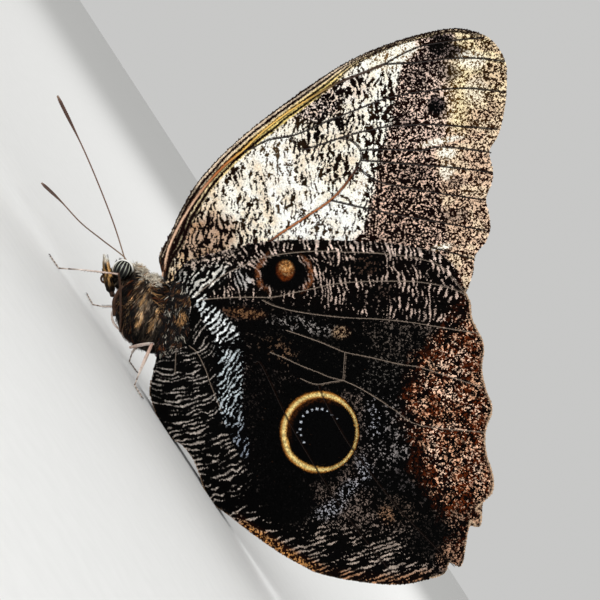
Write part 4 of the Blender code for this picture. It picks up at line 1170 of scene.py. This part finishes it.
skin_rows, skin_columns = 150, 56
skin_along, skin_turn = np.meshgrid(np.linspace(BODY_START, BODY_END, skin_rows),
                                    np.linspace(0, 2 * np.pi, skin_columns, endpoint=False), indexing="ij")
skin_points = np.vstack([body_point(skin_along.reshape(-1), skin_turn.reshape(-1)),
                         place(BODY_START - 0.25, 0.0, 9.05), place(BODY_END + 1.1, 0.0, 6.4)])
skin_quads = grid_faces(skin_rows, skin_columns)[:, ::-1]
skin_caps = end_caps(skin_rows, skin_columns)[:, ::-1]
skin_where = skin_points * 1000.0
skin_colour = body_pigment(skin_where[:, 0] + BODY_MIDDLE_X, skin_where[:, 2], 311) * 0.6

PALP_PATH = ((9.4, 1.15, 4.9), (6.6, 1.15, 5.8), (4.6, 1.15, 6.7), (3.1, 1.05, 7.5))
PALP_RADII = (0.36, 0.50, 0.40, 0.14)
FORELEG_PATH = ((12.6, 2.0, 3.3), (10.6, 2.9, 4.6), (9.6, 3.2, 6.0), (9.1, 3.1, 7.2))
FORELEG_RADII = (0.20, 0.24, 0.22, 0.13)


def limb(path, radii, side, sides=10, steps=8):
    """Tapered tube along the smooth curve through a limb's points, and its middle line."""
    curve = smooth_path(np.column_stack([path, radii]), steps)
    axis = place(*curve[:, :3].T, side)
    return (*tube(axis, curve[:, 3], sides), axis)


limbs = [limb(PALP_PATH, PALP_RADII, side) for side in SIDES.values()]
limbs += [limb(FORELEG_PATH, FORELEG_RADII, side) for side in SIDES.values()]
body_points, body_faces = merged([(skin_points, skin_quads, skin_caps)] + limbs)
limb_colour = np.tile(tone(58, 40, 28), (len(body_points) - len(skin_points), 1))
add_piece("body_skin", body_points, body_faces, body_skin_material, np.vstack([skin_colour, limb_colour]),
          replaces=("head", "thorax", "abdomen", "palp_left", "palp_right",
                                      "foreleg_left", "foreleg_right"))

# Body coat: long narrow hair scales in overlapping locks, down and back over the thorax, short and
# close on the face, brushed back in a pale crest over the neck. Each is a bent blade of seven
# points: its root, its rise off the skin and its drooping tip, drawn towards the middle of its lock.
BLADE_SHARES = np.array((0.0, 0.0, 0.4, 0.4, 0.75, 0.75, 1.0))
BLADE_SIDES = np.array((-1.0, 1.0, -1.0, 1.0, -1.0, 1.0, 0.0))
BLADE_WIDTHS = np.array((0.7, 0.7, 1.0, 1.0, 0.65, 0.65, 0.0))
BLADE_QUADS = np.array(((0, 1, 3, 2), (2, 3, 5, 4)))
BLADE_TIPS = np.array(((4, 5, 6),))


def blades(roots, normals, lies, lengths, widths, lift, droop, pull, root_colour, tip_colour, bake_u,
           bake_v, seed):
    """Bent blades: root + length (lie t + normal lift (t - droop t squared)) + pull t squared, tapered."""
    random = np.random.default_rng(seed)
    count = len(roots)
    side = unit(np.cross(lies, normals))
    twist = random.normal(0, 0.5, count)[:, None]
    side = side * np.cos(twist) + normals * np.sin(twist)
    t = BLADE_SHARES[None, :, None]
    sway = random.normal(0, 0.10, count)[:, None, None] * np.cross(normals, lies)[:, None]
    lift = np.broadcast_to(lift, count)[:, None, None]
    path = lies[:, None] * t + normals[:, None] * lift * (t - droop * t**2) + sway * t**2
    points = roots[:, None] + lengths[:, None, None] * path + pull[:, None] * t**2
    across = side[:, None] * widths[:, None, None] / 2
    points = points + (BLADE_SIDES * BLADE_WIDTHS)[None, :, None] * across
    # Each blade runs from its root colour to its tip colour; every coat passes darker roots and lighter tips:
    # painted shade deep in the coat and painted light on the hair ends.
    colour = root_colour[:, None] * (1 - t) + tip_colour[:, None] * t
    first = np.arange(count)[:, None, None] * 7
    quads = (BLADE_QUADS[None] + first).reshape(-1, 4)
    tips = (BLADE_TIPS[None] + first).reshape(-1, 3)
    bake = bake_patch(bake_u, bake_v, (BLADE_SIDES + 1) / 2, BLADE_SHARES)
    return points.reshape(-1, 3), quads, tips, colour.reshape(-1, 3), bake


def add_coat(name, sets):
    """One mesh of several sets of blades."""
    points, faces = merged(sets)
    colours, bake = (np.vstack([part[k] for part in sets]) for k in (3, 4))
    add_piece(name, points, faces, body_hair_material, colours, bake, smooth=False)


def flat_on(normals, direction):
    """The direction laid in each tangent plane: less its share along the normal, at unit length."""
    return unit(direction - normals * (direction * normals).sum(1)[:, None])


def body_coat(low, high, count, length, width, lift, direction, brightness, seed):
    """Blades over a stretch of the skin, gathered into locks about a millimetre wide."""
    random = np.random.default_rng(seed)
    along = random.uniform(low, high, count * 3)
    turn = random.uniform(0, 2 * np.pi, count * 3)
    girth = body_size(along, 2) + body_size(along, 3)
    keep = np.flatnonzero(random.uniform(0, 1, count * 3) < girth / girth.max())[:count]
    along, turn = along[keep], turn[keep]
    roots = body_point(along, turn)
    normals = body_normal(along, turn)
    wave = 0.35 * (rough(along / 2.0, turn * 2.0, seed + 1) - 0.5)
    heading = np.array(direction) + np.stack([wave, 0 * wave, wave], 1)
    heading = heading + random.normal(0, 0.10, heading.shape)
    lies = flat_on(normals, heading)
    lock_along = np.floor(along) + 0.5
    cells = np.maximum(np.round(body_size(along, 2) * 6.0), 6)
    lock_turn = (np.floor(turn / (2 * np.pi) * cells) + 0.5) * 2 * np.pi / cells
    pull = 0.45 * (body_point(lock_along, lock_turn) - roots)
    pull = pull - normals * (pull * normals).sum(1)[:, None]
    size = length * random.uniform(0.6, 1.15, len(along)) / 1000.0
    lock_shade = lattice(np.floor(along), np.floor(turn / (2 * np.pi) * cells), seed)
    where = roots * 1000.0
    pigment = body_pigment(where[:, 0] + BODY_MIDDLE_X, where[:, 2], 311)
    hair_shade = random.normal(1, 0.35, len(along)).clip(0.3, 2.0)
    pigment = pigment * (brightness * (0.30 + 1.3 * lock_shade) * hair_shade)[:, None]
    crest = ease(0.45, 0.90, normals[:, 2]) * ease(12.0, 10.0, along)
    white = tone(240, 230, 212) * random.uniform(0.3, 1.0, len(along))[:, None]
    pigment = cover(pigment, white, 0.85 * crest)
    lift = lift * random.uniform(0.6, 1.4, len(along)) + 0.35 * crest
    wide = width * random.uniform(0.7, 1.3, len(along)) / 1000.0
    # Roots at 0.45 and tips at 1.25 of the pigment: painted shade deep in the coat and painted light on the
    # hair ends.
    return blades(roots, normals, lies, size, wide, lift, 0.75, pull, pigment * 0.45, pigment * 1.25,
                  within(along, BODY_START, BODY_END), within(turn, 0, 2 * np.pi), seed + 2)


def limb_coat(axis, radii, count, length, width, lift, colours, seed, low=0.0, high=1.0):
    """Blades round a limb, lying along it towards its tip."""
    random = np.random.default_rng(seed)
    share = random.uniform(low, high, count)
    step = np.linspace(0, 1, len(axis))
    slope = unit(np.gradient(axis, axis=0))
    centre, lies = (np.stack([np.interp(share, step, line[:, k]) for k in range(3)], 1)
                    for line in (axis, slope))
    lies = unit(lies)
    radius = np.interp(share, np.linspace(0, 1, len(radii)), radii) / 1000.0
    turn = random.uniform(0, 2 * np.pi, count)
    first, second = square_to(lies, slope)
    normals = np.cos(turn)[:, None] * first + np.sin(turn)[:, None] * second
    roots = centre + normals * radius[:, None] * 0.9
    shade = random.normal(1, 0.25, count).clip(0.4, 1.8)[:, None]
    size, wide = (value / 1000.0 for value in drawn(random, count, (length, 0.7, 1.2), (width, 0.8, 1.2)))
    root_colour, tip_colour = (colour * shade for colour in colours(share, normals))
    return blades(roots, normals, lies, size, wide, lift, 0.7, np.zeros((count, 3)), root_colour,
                  tip_colour,
                  within(share, 0, 1), within(turn, 0, 2 * np.pi), seed + 1)


DOWN_AND_BACK = (0.50, 0.0, -0.85)
UP_AND_BACK = (0.75, 0.0, 0.25)
FORWARD_AND_UP = (-0.6, 0.0, 0.5)
thorax_coat = body_coat(9.4, 22.8, 20000, 1.7, 0.13, 0.36, DOWN_AND_BACK, 0.95, 321)
head_coat = body_coat(6.6, 10.2, 4200, 0.95, 0.08, 0.35, DOWN_AND_BACK, 0.8, 331)
face_coat = body_coat(4.9, 6.8, 2200, 0.75, 0.07, 0.45, FORWARD_AND_UP, 1.2, 341)
abdomen_coat = body_coat(22.6, 45.6, 9000, 1.6, 0.19, 0.16, (0.9, 0.0, -0.15), 1.6, 351)


def mixed_hues(hues, shares, points, seed):
    """One of several pigments for each hair by its share, mostly the same one for hairs close together."""
    random = np.random.default_rng(seed)
    x, z = points[:, 0] * 1000.0, points[:, 2] * 1000.0
    side = np.sign(points[:, 1] * 1000.0 - BODY_MIDDLE_Y) * 40.0
    tuft = noise((x + side) / 0.45, z / 0.45, seed) + noise((x - z) / 0.3, (x + z) / 0.6, seed + 1)
    clump = spread(0.5 * tuft, 0.5, 0.085)
    draw = np.clip(0.72 * clump + 0.28 * random.uniform(0, 1, len(x)), 0, 0.9999)
    pick = np.searchsorted(np.cumsum(shares), draw * 0.9999)
    return np.array(hues)[pick] * random.uniform(0.5, 1.25, len(x))[:, None]


def long_hair(low, high, facing, limit, count, length, width, lift, heading, scatter, hues, shares, seed):
    """Single long hairs over the part of the skin that faces a direction by more than a limit."""
    random = np.random.default_rng(seed)
    along = random.uniform(low, high, count * 8)
    turn = random.uniform(0, 2 * np.pi, count * 8)
    normals = body_normal(along, turn)
    keep = np.flatnonzero((normals * np.array(facing)).sum(1) > limit)[:count]
    along, turn, normals = along[keep], turn[keep], normals[keep]
    count = len(keep)
    curl_x, curl_z = (rough(along / 0.8, turn * 3, seed + step) - 0.5 for step in (1, 4))
    curl = 1.6 * np.stack([curl_x, np.zeros(count), curl_z], 1)
    lies = flat_on(normals, np.array(heading) + curl + random.normal(0, scatter, (count, 3)))
    roots = body_point(along, turn)
    hue = mixed_hues(hues, shares, roots, seed + 6)
    size, wide, rise = drawn(random, count, (length, 0.55, 1.2), (width, 0.7, 1.3), (lift, 0.6, 1.4))
    # Roots at half and tips at 1.2 of the hue: painted shade deep in the coat and painted light on the hair
    # ends.
    return blades(roots, normals, lies, size / 1000.0, wide / 1000.0, rise, 0.6, np.zeros((count, 3)),
                  hue * 0.5, hue * 1.2,
                  within(along, BODY_START, BODY_END), within(turn, 0, 2 * np.pi), seed + 2)


HAIR_BLACK, HAIR_BROWN, HAIR_RUST = tone(14, 10, 8), tone(78, 54, 38), tone(112, 60, 30)
HAIR_TAN, HAIR_CREAM, HAIR_PINK = tone(176, 132, 86), tone(240, 230, 210), tone(206, 172, 150)
crest_hair = long_hair(6.9, 12.4, (-0.45, 0.0, 0.9), 0.62, 2700, 1.40, 0.10, 1.10, (0.10, 0.0, 0.55), 0.25,
                       (HAIR_BROWN, HAIR_CREAM, HAIR_TAN, HAIR_BLACK), (0.08, 0.72, 0.13, 0.07), 381)
shoulder_sets = [
    long_hair(10.6, 20.5, (0.2, 0.55 * hand, 0.8), 0.62, 3000, 2.3, 0.09, 0.45, (0.6, 0.0, 0.75), 0.30,
              (HAIR_TAN, HAIR_BLACK, HAIR_RUST, HAIR_BROWN), (0.20, 0.54, 0.07, 0.19), 383 + hand)
    for hand in (-1, 1)]
chest_hair = long_hair(9.0, 19.0, (-0.6, 0.0, -0.8), 0.25, 4200, 2.1, 0.10, 0.50, (0.55, 0.0, -0.8), 0.22,
                       (HAIR_TAN, HAIR_BLACK, HAIR_RUST, HAIR_BROWN), (0.10, 0.70, 0.04, 0.16), 387)
belly_hair = long_hair(11.5, 19.0, (-0.5, 0.0, -0.85), 0.78, 900, 2.2, 0.11, 0.60, (0.35, 0.0, -0.8), 0.12,
                       (HAIR_PINK, HAIR_BROWN, HAIR_BLACK), (0.18, 0.30, 0.52), 389)
add_coat("thorax_hair", [thorax_coat])
add_coat("thorax_long_hair", [crest_hair, chest_hair, belly_hair] + shoulder_sets)
add_coat("abdomen_hair", [abdomen_coat])

# Hair on the wing bases: a curly mat of fine hairs over the innermost part of each hindwing, dark
# with white and rusty strands and one tan tuft, and a brown tuft over the root of each forewing's
# leading edge; together they hide the joint between the wings and the thorax.
HINDWING_MAT = ((0.0, -0.4), (2.5, 0.4), (5.0, -0.7), (6.1, -3.6), (5.8, -7.6), (4.3, -11.7), (1.8, -13.0),
                (-0.5, -12.6), (-1.4, -9.0))
FOREWING_TUFT = ((-1.0, -1.6), (1.9, -1.6), (1.4, 1.0), (0.8, 2.6), (0.4, 3.6), (-0.6, 3.6))


def wing_base_hair(side, count, patch, wing, outwards, direction, curl, hues, shares, length, seed):
    """Hairs at random over a patch of a wing's outer face, thinning out from the root, curled by noise."""
    random = np.random.default_rng(seed)
    low, high = np.min(patch, 0), np.max(patch, 0)
    u, v = random.uniform(low[0], high[0], count * 5), random.uniform(low[1], high[1], count * 5)
    x, z = from_plane(u, v)
    patch_x, patch_z = from_plane(*np.array(patch).T)
    keep = inside(x, z, np.stack([patch_x, patch_z], 1)) & inside(x, z, wing)
    thinning = 1.1 - 0.8 * (u - low[0]) / (high[0] - low[0])
    keep = np.flatnonzero(keep & (random.uniform(0, 1, count * 5) < thinning))[:count]
    u, v, x, z = u[keep], v[keep], x[keep], z[keep]
    count = len(keep)
    roots = place(x, outwards(x, z) + 0.08, z, side)
    normals = np.tile((0.0, float(side), 0.0), (count, 1))
    swirl = np.radians(direction) + curl * (rough(u / 1.2, v / 1.2, seed + 1) - 0.5)
    lies = np.stack([np.cos(swirl), np.zeros(count), np.sin(swirl)], 1)
    lies = flat_on(normals, lies + random.normal(0, 0.2, (count, 3)))
    hue = mixed_hues(hues, shares, roots, seed + 3)
    tufts = np.minimum(oval(u, v, (4.5, -6.3), (0.6, 1.3), -15), oval(u, v, (6.2, -2.4), (0.4, 1.2), -10))
    tuft = 1 - ease(0.8, 1.3, tufts)
    hue = cover(hue, HAIR_TAN * 1.2, tuft * (random.uniform(0, 1, count) < 0.55))
    size, wide, rise = drawn(random, count, (length, 0.6, 1.2), (0.08, 0.7, 1.3), (0.42, 0.5, 1.5))
    # Roots at half and tips at 1.15 of the hue: painted shade deep in the mat and painted light on the hair
    # ends.
    return blades(roots, normals, lies, size / 1000.0, wide / 1000.0, rise, 0.8, np.zeros((count, 3)),
                  hue * 0.5, hue * 1.15,
                  within(u, low[0], high[0]), within(v, low[1], high[1]), seed + 2)


base_sets = []
for side in SIDES.values():
    base_sets.append(wing_base_hair(side, 5600, HINDWING_MAT, HINDWING_OUTLINE, hindwing_outwards, -55, 2.8,
                                    (HAIR_CREAM, HAIR_BLACK, HAIR_BROWN, HAIR_RUST, HAIR_TAN),
                                    (0.10, 0.66, 0.12, 0.04, 0.08), 1.15, 391 + side))
    base_sets.append(wing_base_hair(side, 1100, FOREWING_TUFT, FOREWING_OUTLINE, forewing_outwards, 134,
                                    0.8,
                                    (HAIR_TAN, HAIR_BLACK, HAIR_RUST, HAIR_BROWN), (0.12, 0.54, 0.10, 0.24),
                                    1.0, 396 + side))
add_coat("wing_base_hair", base_sets)


def palp_colours(share, normals):
    """Tan, darker below as painted shade, nearly white towards the tip, with the hair ends brighter than
    their roots as painted light.
    """
    pale = ease(0.60, 0.90, share)[:, None]
    streak = spread(noise(share * 11.0, 4.0 * normals[:, 2], 395), 0.5, 0.06)[:, None]
    tan = tone(20, 13, 8) * (1 - streak) + tone(176, 136, 86) * streak * ease(0.05, 0.35, share)[:, None]
    # Hairs facing down get as little as 0.35 of their pigment: painted shade below and painted light on top.
    painted_top_light = 0.35 + 0.65 * ease(-0.8, 0.5, normals[:, 2])[:, None]
    root = (tan * (1 - pale) + tone(206, 198, 184) * pale) * painted_top_light
    # The hair ends are 1.9 times as bright as the roots: painted light on the ends and painted shade at the
    # roots.
    return root, np.minimum(root * 1.9, 0.9)


def leg_colours(share, normals):
    """Dark brown leg scales with pale ends: painted shade at the darker roots deep in the coat and painted
    light on the ends.
    """
    return tone(40, 27, 21), tone(112, 84, 68)


face_sets = [head_coat, face_coat]
for number in range(len(SIDES)):
    palp_axis, foreleg_axis = limbs[number][3], limbs[number + 2][3]
    face_sets += [
        limb_coat(palp_axis, PALP_RADII, 1500, 0.95, 0.09, 0.55, palp_colours, 361 + number, 0.5, 1.0),
        limb_coat(palp_axis, PALP_RADII, 2300, 0.85, 0.10, 1.10, palp_colours, 365 + number, 0.08, 0.55),
        limb_coat(foreleg_axis, FORELEG_RADII, 1200, 0.55, 0.08, 0.35, leg_colours, 371 + number)]
add_coat("face_hair", face_sets)

# Eyes: two large domes of clear facets over dark and pale bands, set in the sides of the head, each with a
# dark rim and a white painted highlight along its upper edge. Each is a cap of a sphere in rings out from its
# pole, with its bands as meridians.
EYE_CENTRE = (6.5, 9.1)
EYE_RADIUS = 1.95
EYE_SPHERE_OUT = 1.2
EYE_BACK = 0.1
EYE_LEAN = math.radians(24)
EYE_BAND_DEGREES = 21.5
eye_material = pigment_material("eye_facets", 0.22, 0.15, 2000.0, 0.2, 1000.0, 0.1)
eye_tree = eye_material.node_tree
eye_place = eye_tree.nodes.new("ShaderNodeTexCoord").outputs["Object"]
facets = add_node(eye_tree, "ShaderNodeTexVoronoi", {"Scale": 9000.0}, {"Vector": eye_place})
eye_relief = [node for node in eye_tree.nodes if node.bl_idname == "ShaderNodeBump"][0]
eye_relief.inputs["Strength"].default_value = 0.35
eye_tree.links.new(facets.outputs["Distance"], eye_relief.inputs["Height"])
eye_shader = eye_tree.nodes["Principled BSDF"]
eye_shader.inputs["Coat Weight"].default_value = 0.15
eye_shader.inputs["Coat Roughness"].default_value = 0.05


def eye_dome(side):
    """Cap of a sphere: rings of points at rising polar angle about the outward axis, and a blunt back."""
    rows, columns = 40, 72
    polar, turn = np.meshgrid(np.linspace(0.02, np.radians(86), rows),
                              np.linspace(0, 2 * np.pi, columns, endpoint=False), indexing="ij")
    polar, turn = polar.reshape(-1), turn.reshape(-1)
    x = EYE_CENTRE[0] + EYE_RADIUS * np.sin(polar) * np.cos(turn)
    z = EYE_CENTRE[1] + EYE_RADIUS * np.sin(polar) * np.sin(turn)
    out = EYE_SPHERE_OUT + EYE_RADIUS * np.cos(polar)
    ends = [place(EYE_CENTRE[0], EYE_SPHERE_OUT + rise, EYE_CENTRE[1], side)
            for rise in (EYE_RADIUS, EYE_BACK)]
    points = np.vstack([place(x, out, z, side), *ends])
    quads, caps = grid_faces(rows, columns), end_caps(rows, columns)
    if side == LEFT:
        quads, caps = quads[:, ::-1], caps[:, ::-1]
    u, v = to_plane(np.append(x, [EYE_CENTRE[0]] * 2), np.append(z, [EYE_CENTRE[1]] * 2))
    middle = to_plane(*map(np.array, EYE_CENTRE))
    du, dv = (u - middle[0]) / EYE_RADIUS, (v - middle[1]) / EYE_RADIUS
    sideways = du * np.cos(EYE_LEAN) - dv * np.sin(EYE_LEAN)
    outward = np.sqrt(np.clip(1 - du**2 - dv**2, 0.0, 1.0))
    meridian = np.degrees(np.arctan2(outward, -sideways))
    lengthways = du * np.sin(EYE_LEAN) + dv * np.cos(EYE_LEAN)
    beat = 0.5 + 0.5 * np.cos(np.radians((meridian - 17.8) * 360 / EYE_BAND_DEGREES))
    band = ease(0.83, 0.97, beat)
    ends = ease(0.98, 0.76, np.abs(lengthways)) * (0.06 + 0.94 * ease(-0.40, 0.45, lengthways))
    colour = cover((5, 5, 4), (190, 192, 174), band * ends)
    rim = ease(0.80, 0.86, np.hypot(du, dv))
    colour = cover(colour, (20, 18, 15), rim)
    # A white band along the upper edge of the rim: painted highlight.
    colour = cover(colour, (250, 248, 240), ease(0.86, 0.89, np.hypot(du, dv)) * ease(-0.3, 0.15, dv))
    return points, [quads, caps], colour


for side_name, side in SIDES.items():
    eye_points, eye_faces, eye_colour = eye_dome(side)
    add_piece(f"eye_{side_name}", eye_points, eye_faces, eye_material, eye_colour,
              replaces=(f"eye_{side_name}",))

# Antennae: thin jointed rods of chitin in sockets between the eyes, thickening to a club.
ANTENNA_PATHS = {
    "left": ((5.4, 0.6, 10.2), (4.4, 0.7, 10.6), (-2.6, 2.4, 12.6), (-14.0, 5.4, 15.0), (-25.3, 8.5, 16.6)),
    "right": ((5.4, 0.6, 10.1), (4.4, 0.8, 10.4), (-1.0, 6.9, 8.3), (-6.1, 13.5, 6.4), (-12.1, 18.6, 5.1),
              (-17.3, 24.3, 3.6)),
}
ANTENNA_JOINT = 0.42
ANTENNA_SIDES = 12
antenna_material = pigment_material("antenna_chitin", 0.35, 0.4, 1600.0, 0.3, 5000.0, 0.35)
for side_name, path in ANTENNA_PATHS.items():
    curve = smooth_path(path, 60)
    reach = np.concatenate([[0], np.cumsum(np.linalg.norm(np.diff(curve, axis=0), axis=1))])
    even = np.arange(0, reach[-1], 0.10)
    curve = np.stack([np.interp(even, reach, curve[:, k]) for k in range(3)], 1)
    share = even / reach[-1]
    ring = 0.5 + 0.5 * np.cos(2 * np.pi * even / ANTENNA_JOINT)
    radius = 0.135 + 0.20 * ease(0.70, 0.90, share) - 0.12 * ease(0.955, 1.0, share)
    radius = radius * (1 - 0.16 * ring**4) + 0.08 * ease(0.03, 0.0, share)
    shaft = tone(112, 74, 52) * (1 - 0.5 * ring[:, None]) + 0.12 * (ring**6)[:, None]
    shaft = cover(shaft, (196, 176, 152), 0.35 * ease(0.25, 0.0, share) + 0.3 * ease(0.97, 1.0, share))
    shaft = cover(shaft, (58, 32, 20), 0.7 * ease(0.68, 0.86, share) * ease(1.0, 0.95, share))
    points, quads, caps = tube(place(*curve.T, SIDES[side_name]), radius, ANTENNA_SIDES)
    add_piece(f"antenna_{side_name}", points, [quads, caps], antenna_material,
              ring_colours(shaft, ANTENNA_SIDES),
              replaces=(f"antenna_{side_name}",))

# Proboscis: a ringed tube of dark chitin, coiled up like a watch spring between the palps.
PROBOSCIS_MIDDLE = (5.9, 5.5)
PROBOSCIS_SIDES = 12
coil = np.linspace(0, 1.5 * 2 * np.pi, 150)
coil_radius = 0.33 + 0.56 * coil / (2 * np.pi)
coil_x = PROBOSCIS_MIDDLE[0] + coil_radius * np.cos(coil)
coil_z = PROBOSCIS_MIDDLE[1] + coil_radius * np.sin(coil)
coil_rings = 0.5 + 0.5 * np.cos(coil * 26)
points, quads, caps = tube(place(coil_x, 0.0, coil_z), 0.19 + 0.02 * coil_rings, PROBOSCIS_SIDES)
coil_shade = tone(72, 44, 28) * (0.55 + 0.7 * coil_rings[:, None])
proboscis_material = pigment_material("proboscis_chitin", 0.30, 0.45, 1500.0, 0.3, 5000.0, 0.3)
add_piece("proboscis", points, [quads, caps], proboscis_material, ring_colours(coil_shade, PROBOSCIS_SIDES),
          replaces=("proboscis",))

# Walking legs: femur, shin and five-jointed foot of hollow chitin with a fringe of scales, rows of
# spines on the shin and two hooked claws. The pieces of one leg are joined in one mesh.
LEG_JOINTS = {
    "mid_left": ((15.6, 1.7, 2.6), (7.0, 6.7, 8.4), (2.7, 8.5, 3.2), (0.5, 9.4, 0.24), (-2.1, 10.2, 0.24)),
    "mid_right": ((15.6, 1.7, 2.6), (11.1, 6.6, 4.1), (9.5, 9.0, 1.6), (8.2, 10.2, 0.24),
                  (6.0, 11.8, 0.24)),
    "hind_left": ((18.9, 1.7, 2.6), (20.6, 6.7, 6.6), (23.8, 8.5, 1.9), (25.1, 9.3, 0.24),
                  (27.6, 10.3, 0.24)),
    "hind_right": ((18.9, 1.7, 2.6), (18.5, 6.7, 5.0), (19.6, 8.7, 1.7), (20.7, 9.7, 0.24),
                   (23.1, 10.9, 0.24)),
}
leg_material = pigment_material("leg_chitin", 0.38, 0.35, 1500.0, 0.35, 5200.0, 0.4)
leg_coats = []
BROWN, PINK, PALE = tone(70, 46, 34), tone(176, 134, 114), tone(226, 210, 196)
SPINES_IN_ROW = 11


def shin_colours(share, normals):
    """Pale pinkish scales of the shins with nearly white ends: painted light on the ends and painted shade at
    the darker roots.
    """
    return tone(190, 164, 150), tone(252, 244, 238)


for leg_number, (leg_name, joints) in enumerate(LEG_JOINTS.items()):
    side = SIDES[leg_name.split("_")[1]]
    hip, knee, ankle, heel, toe = (np.array(joint) for joint in joints)
    shapes, tints = [], []

    def add_shape(path, radii, tint, sides=10, steps=6):
        """One more tube of this leg, and its pigment from root to tip."""
        shape = limb(path, radii, side, sides, steps)
        shapes.append(shape[:3])
        share = np.linspace(0, 1, len(shape[3]))[:, None]
        shade = tint[0] * (1 - share) + tint[1] * share
        tints.append(ring_colours(shade, sides))
        return shape[3]

    bow = np.array((-0.55, 0.0, -1.0)) if leg_name == "mid_right" else np.array((0.0, 0.0, 0.25))
    # The near middle leg's femur and its scales are dark brown where the other femurs are pink: painted
    # shade.
    shaded_near_femur = leg_name == "mid_left"
    femur_radii = (0.16, 0.20, 0.18, 0.15) if leg_name.startswith("mid") else (0.24, 0.30, 0.27, 0.20)
    shin_radii = (0.15, 0.16, 0.13) if leg_name.startswith("mid") else (0.26, 0.31, 0.20)
    femur_tints = (BROWN * 0.4, BROWN * 0.7) if shaded_near_femur else (PINK, PALE)
    femur = add_shape((hip, hip + 0.35 * (knee - hip) + bow, hip + 0.75 * (knee - hip) + bow, knee),
                      femur_radii, femur_tints)
    shin = add_shape((knee, knee + 0.5 * (ankle - knee), ankle), shin_radii, (PINK, PALE))
    add_shape((knee - 0.02 * (knee - hip), knee + 0.03 * (ankle - knee)),
              (1.1 * shin_radii[0], 1.05 * shin_radii[0]), (BROWN, BROWN))
    foot_points = [ankle + 0.55 * (heel - ankle), heel]
    foot_points += [heel + share * (toe - heel) for share in (0.3, 0.55, 0.8, 1.0)]
    start = ankle
    for end in foot_points:
        add_shape((start, start + 0.5 * (end - start), end), (0.11, 0.13, 0.15), (PALE, BROWN), 8, 4)
        start = end
    heading = (toe - heel) / np.linalg.norm(toe - heel)
    across = np.cross(heading, (0, 0, 1.0))
    for hand in (-1, 1):
        root = toe + across * 0.08 * hand
        arch = root + heading * 0.22 + across * 0.10 * hand + (0, 0, 0.10)
        point = root + heading * 0.42 + across * 0.16 * hand - (0, 0, 0.12)
        add_shape((root, arch, point), (0.07, 0.055, 0.015), (BROWN * 0.5, BROWN * 0.25), 6, 4)
    for share in np.linspace(0.12, 0.95, SPINES_IN_ROW):
        for hand in (-1, 1):
            root = knee + share * (ankle - knee)
            lean = (ankle - knee) / np.linalg.norm(ankle - knee)
            out = np.cross(lean, (0.3, 0.2 * hand, 1.0)) * hand
            out = out / np.linalg.norm(out)
            add_shape((root + out * 0.15, root + out * 0.42 + lean * 0.22), (0.045, 0.012),
                      (BROWN * 0.6, BROWN * 0.3), 5, 2)
    leg_points, leg_faces = merged(shapes)
    add_piece(f"leg_{leg_name}", leg_points, leg_faces, leg_material, np.vstack(tints),
              replaces=(f"leg_{leg_name}_femur", f"leg_{leg_name}_tibia", f"leg_{leg_name}_tarsus"))
    femur_colours = leg_colours if shaded_near_femur else shin_colours
    leg_coats.append(limb_coat(femur, femur_radii, 1000, 0.42, 0.07, 0.20, femur_colours, 411 + leg_number))
    leg_coats.append(limb_coat(shin, shin_radii, 700, 0.28, 0.06, 0.14, shin_colours, 421 + leg_number))
add_coat("leg_scales", leg_coats)
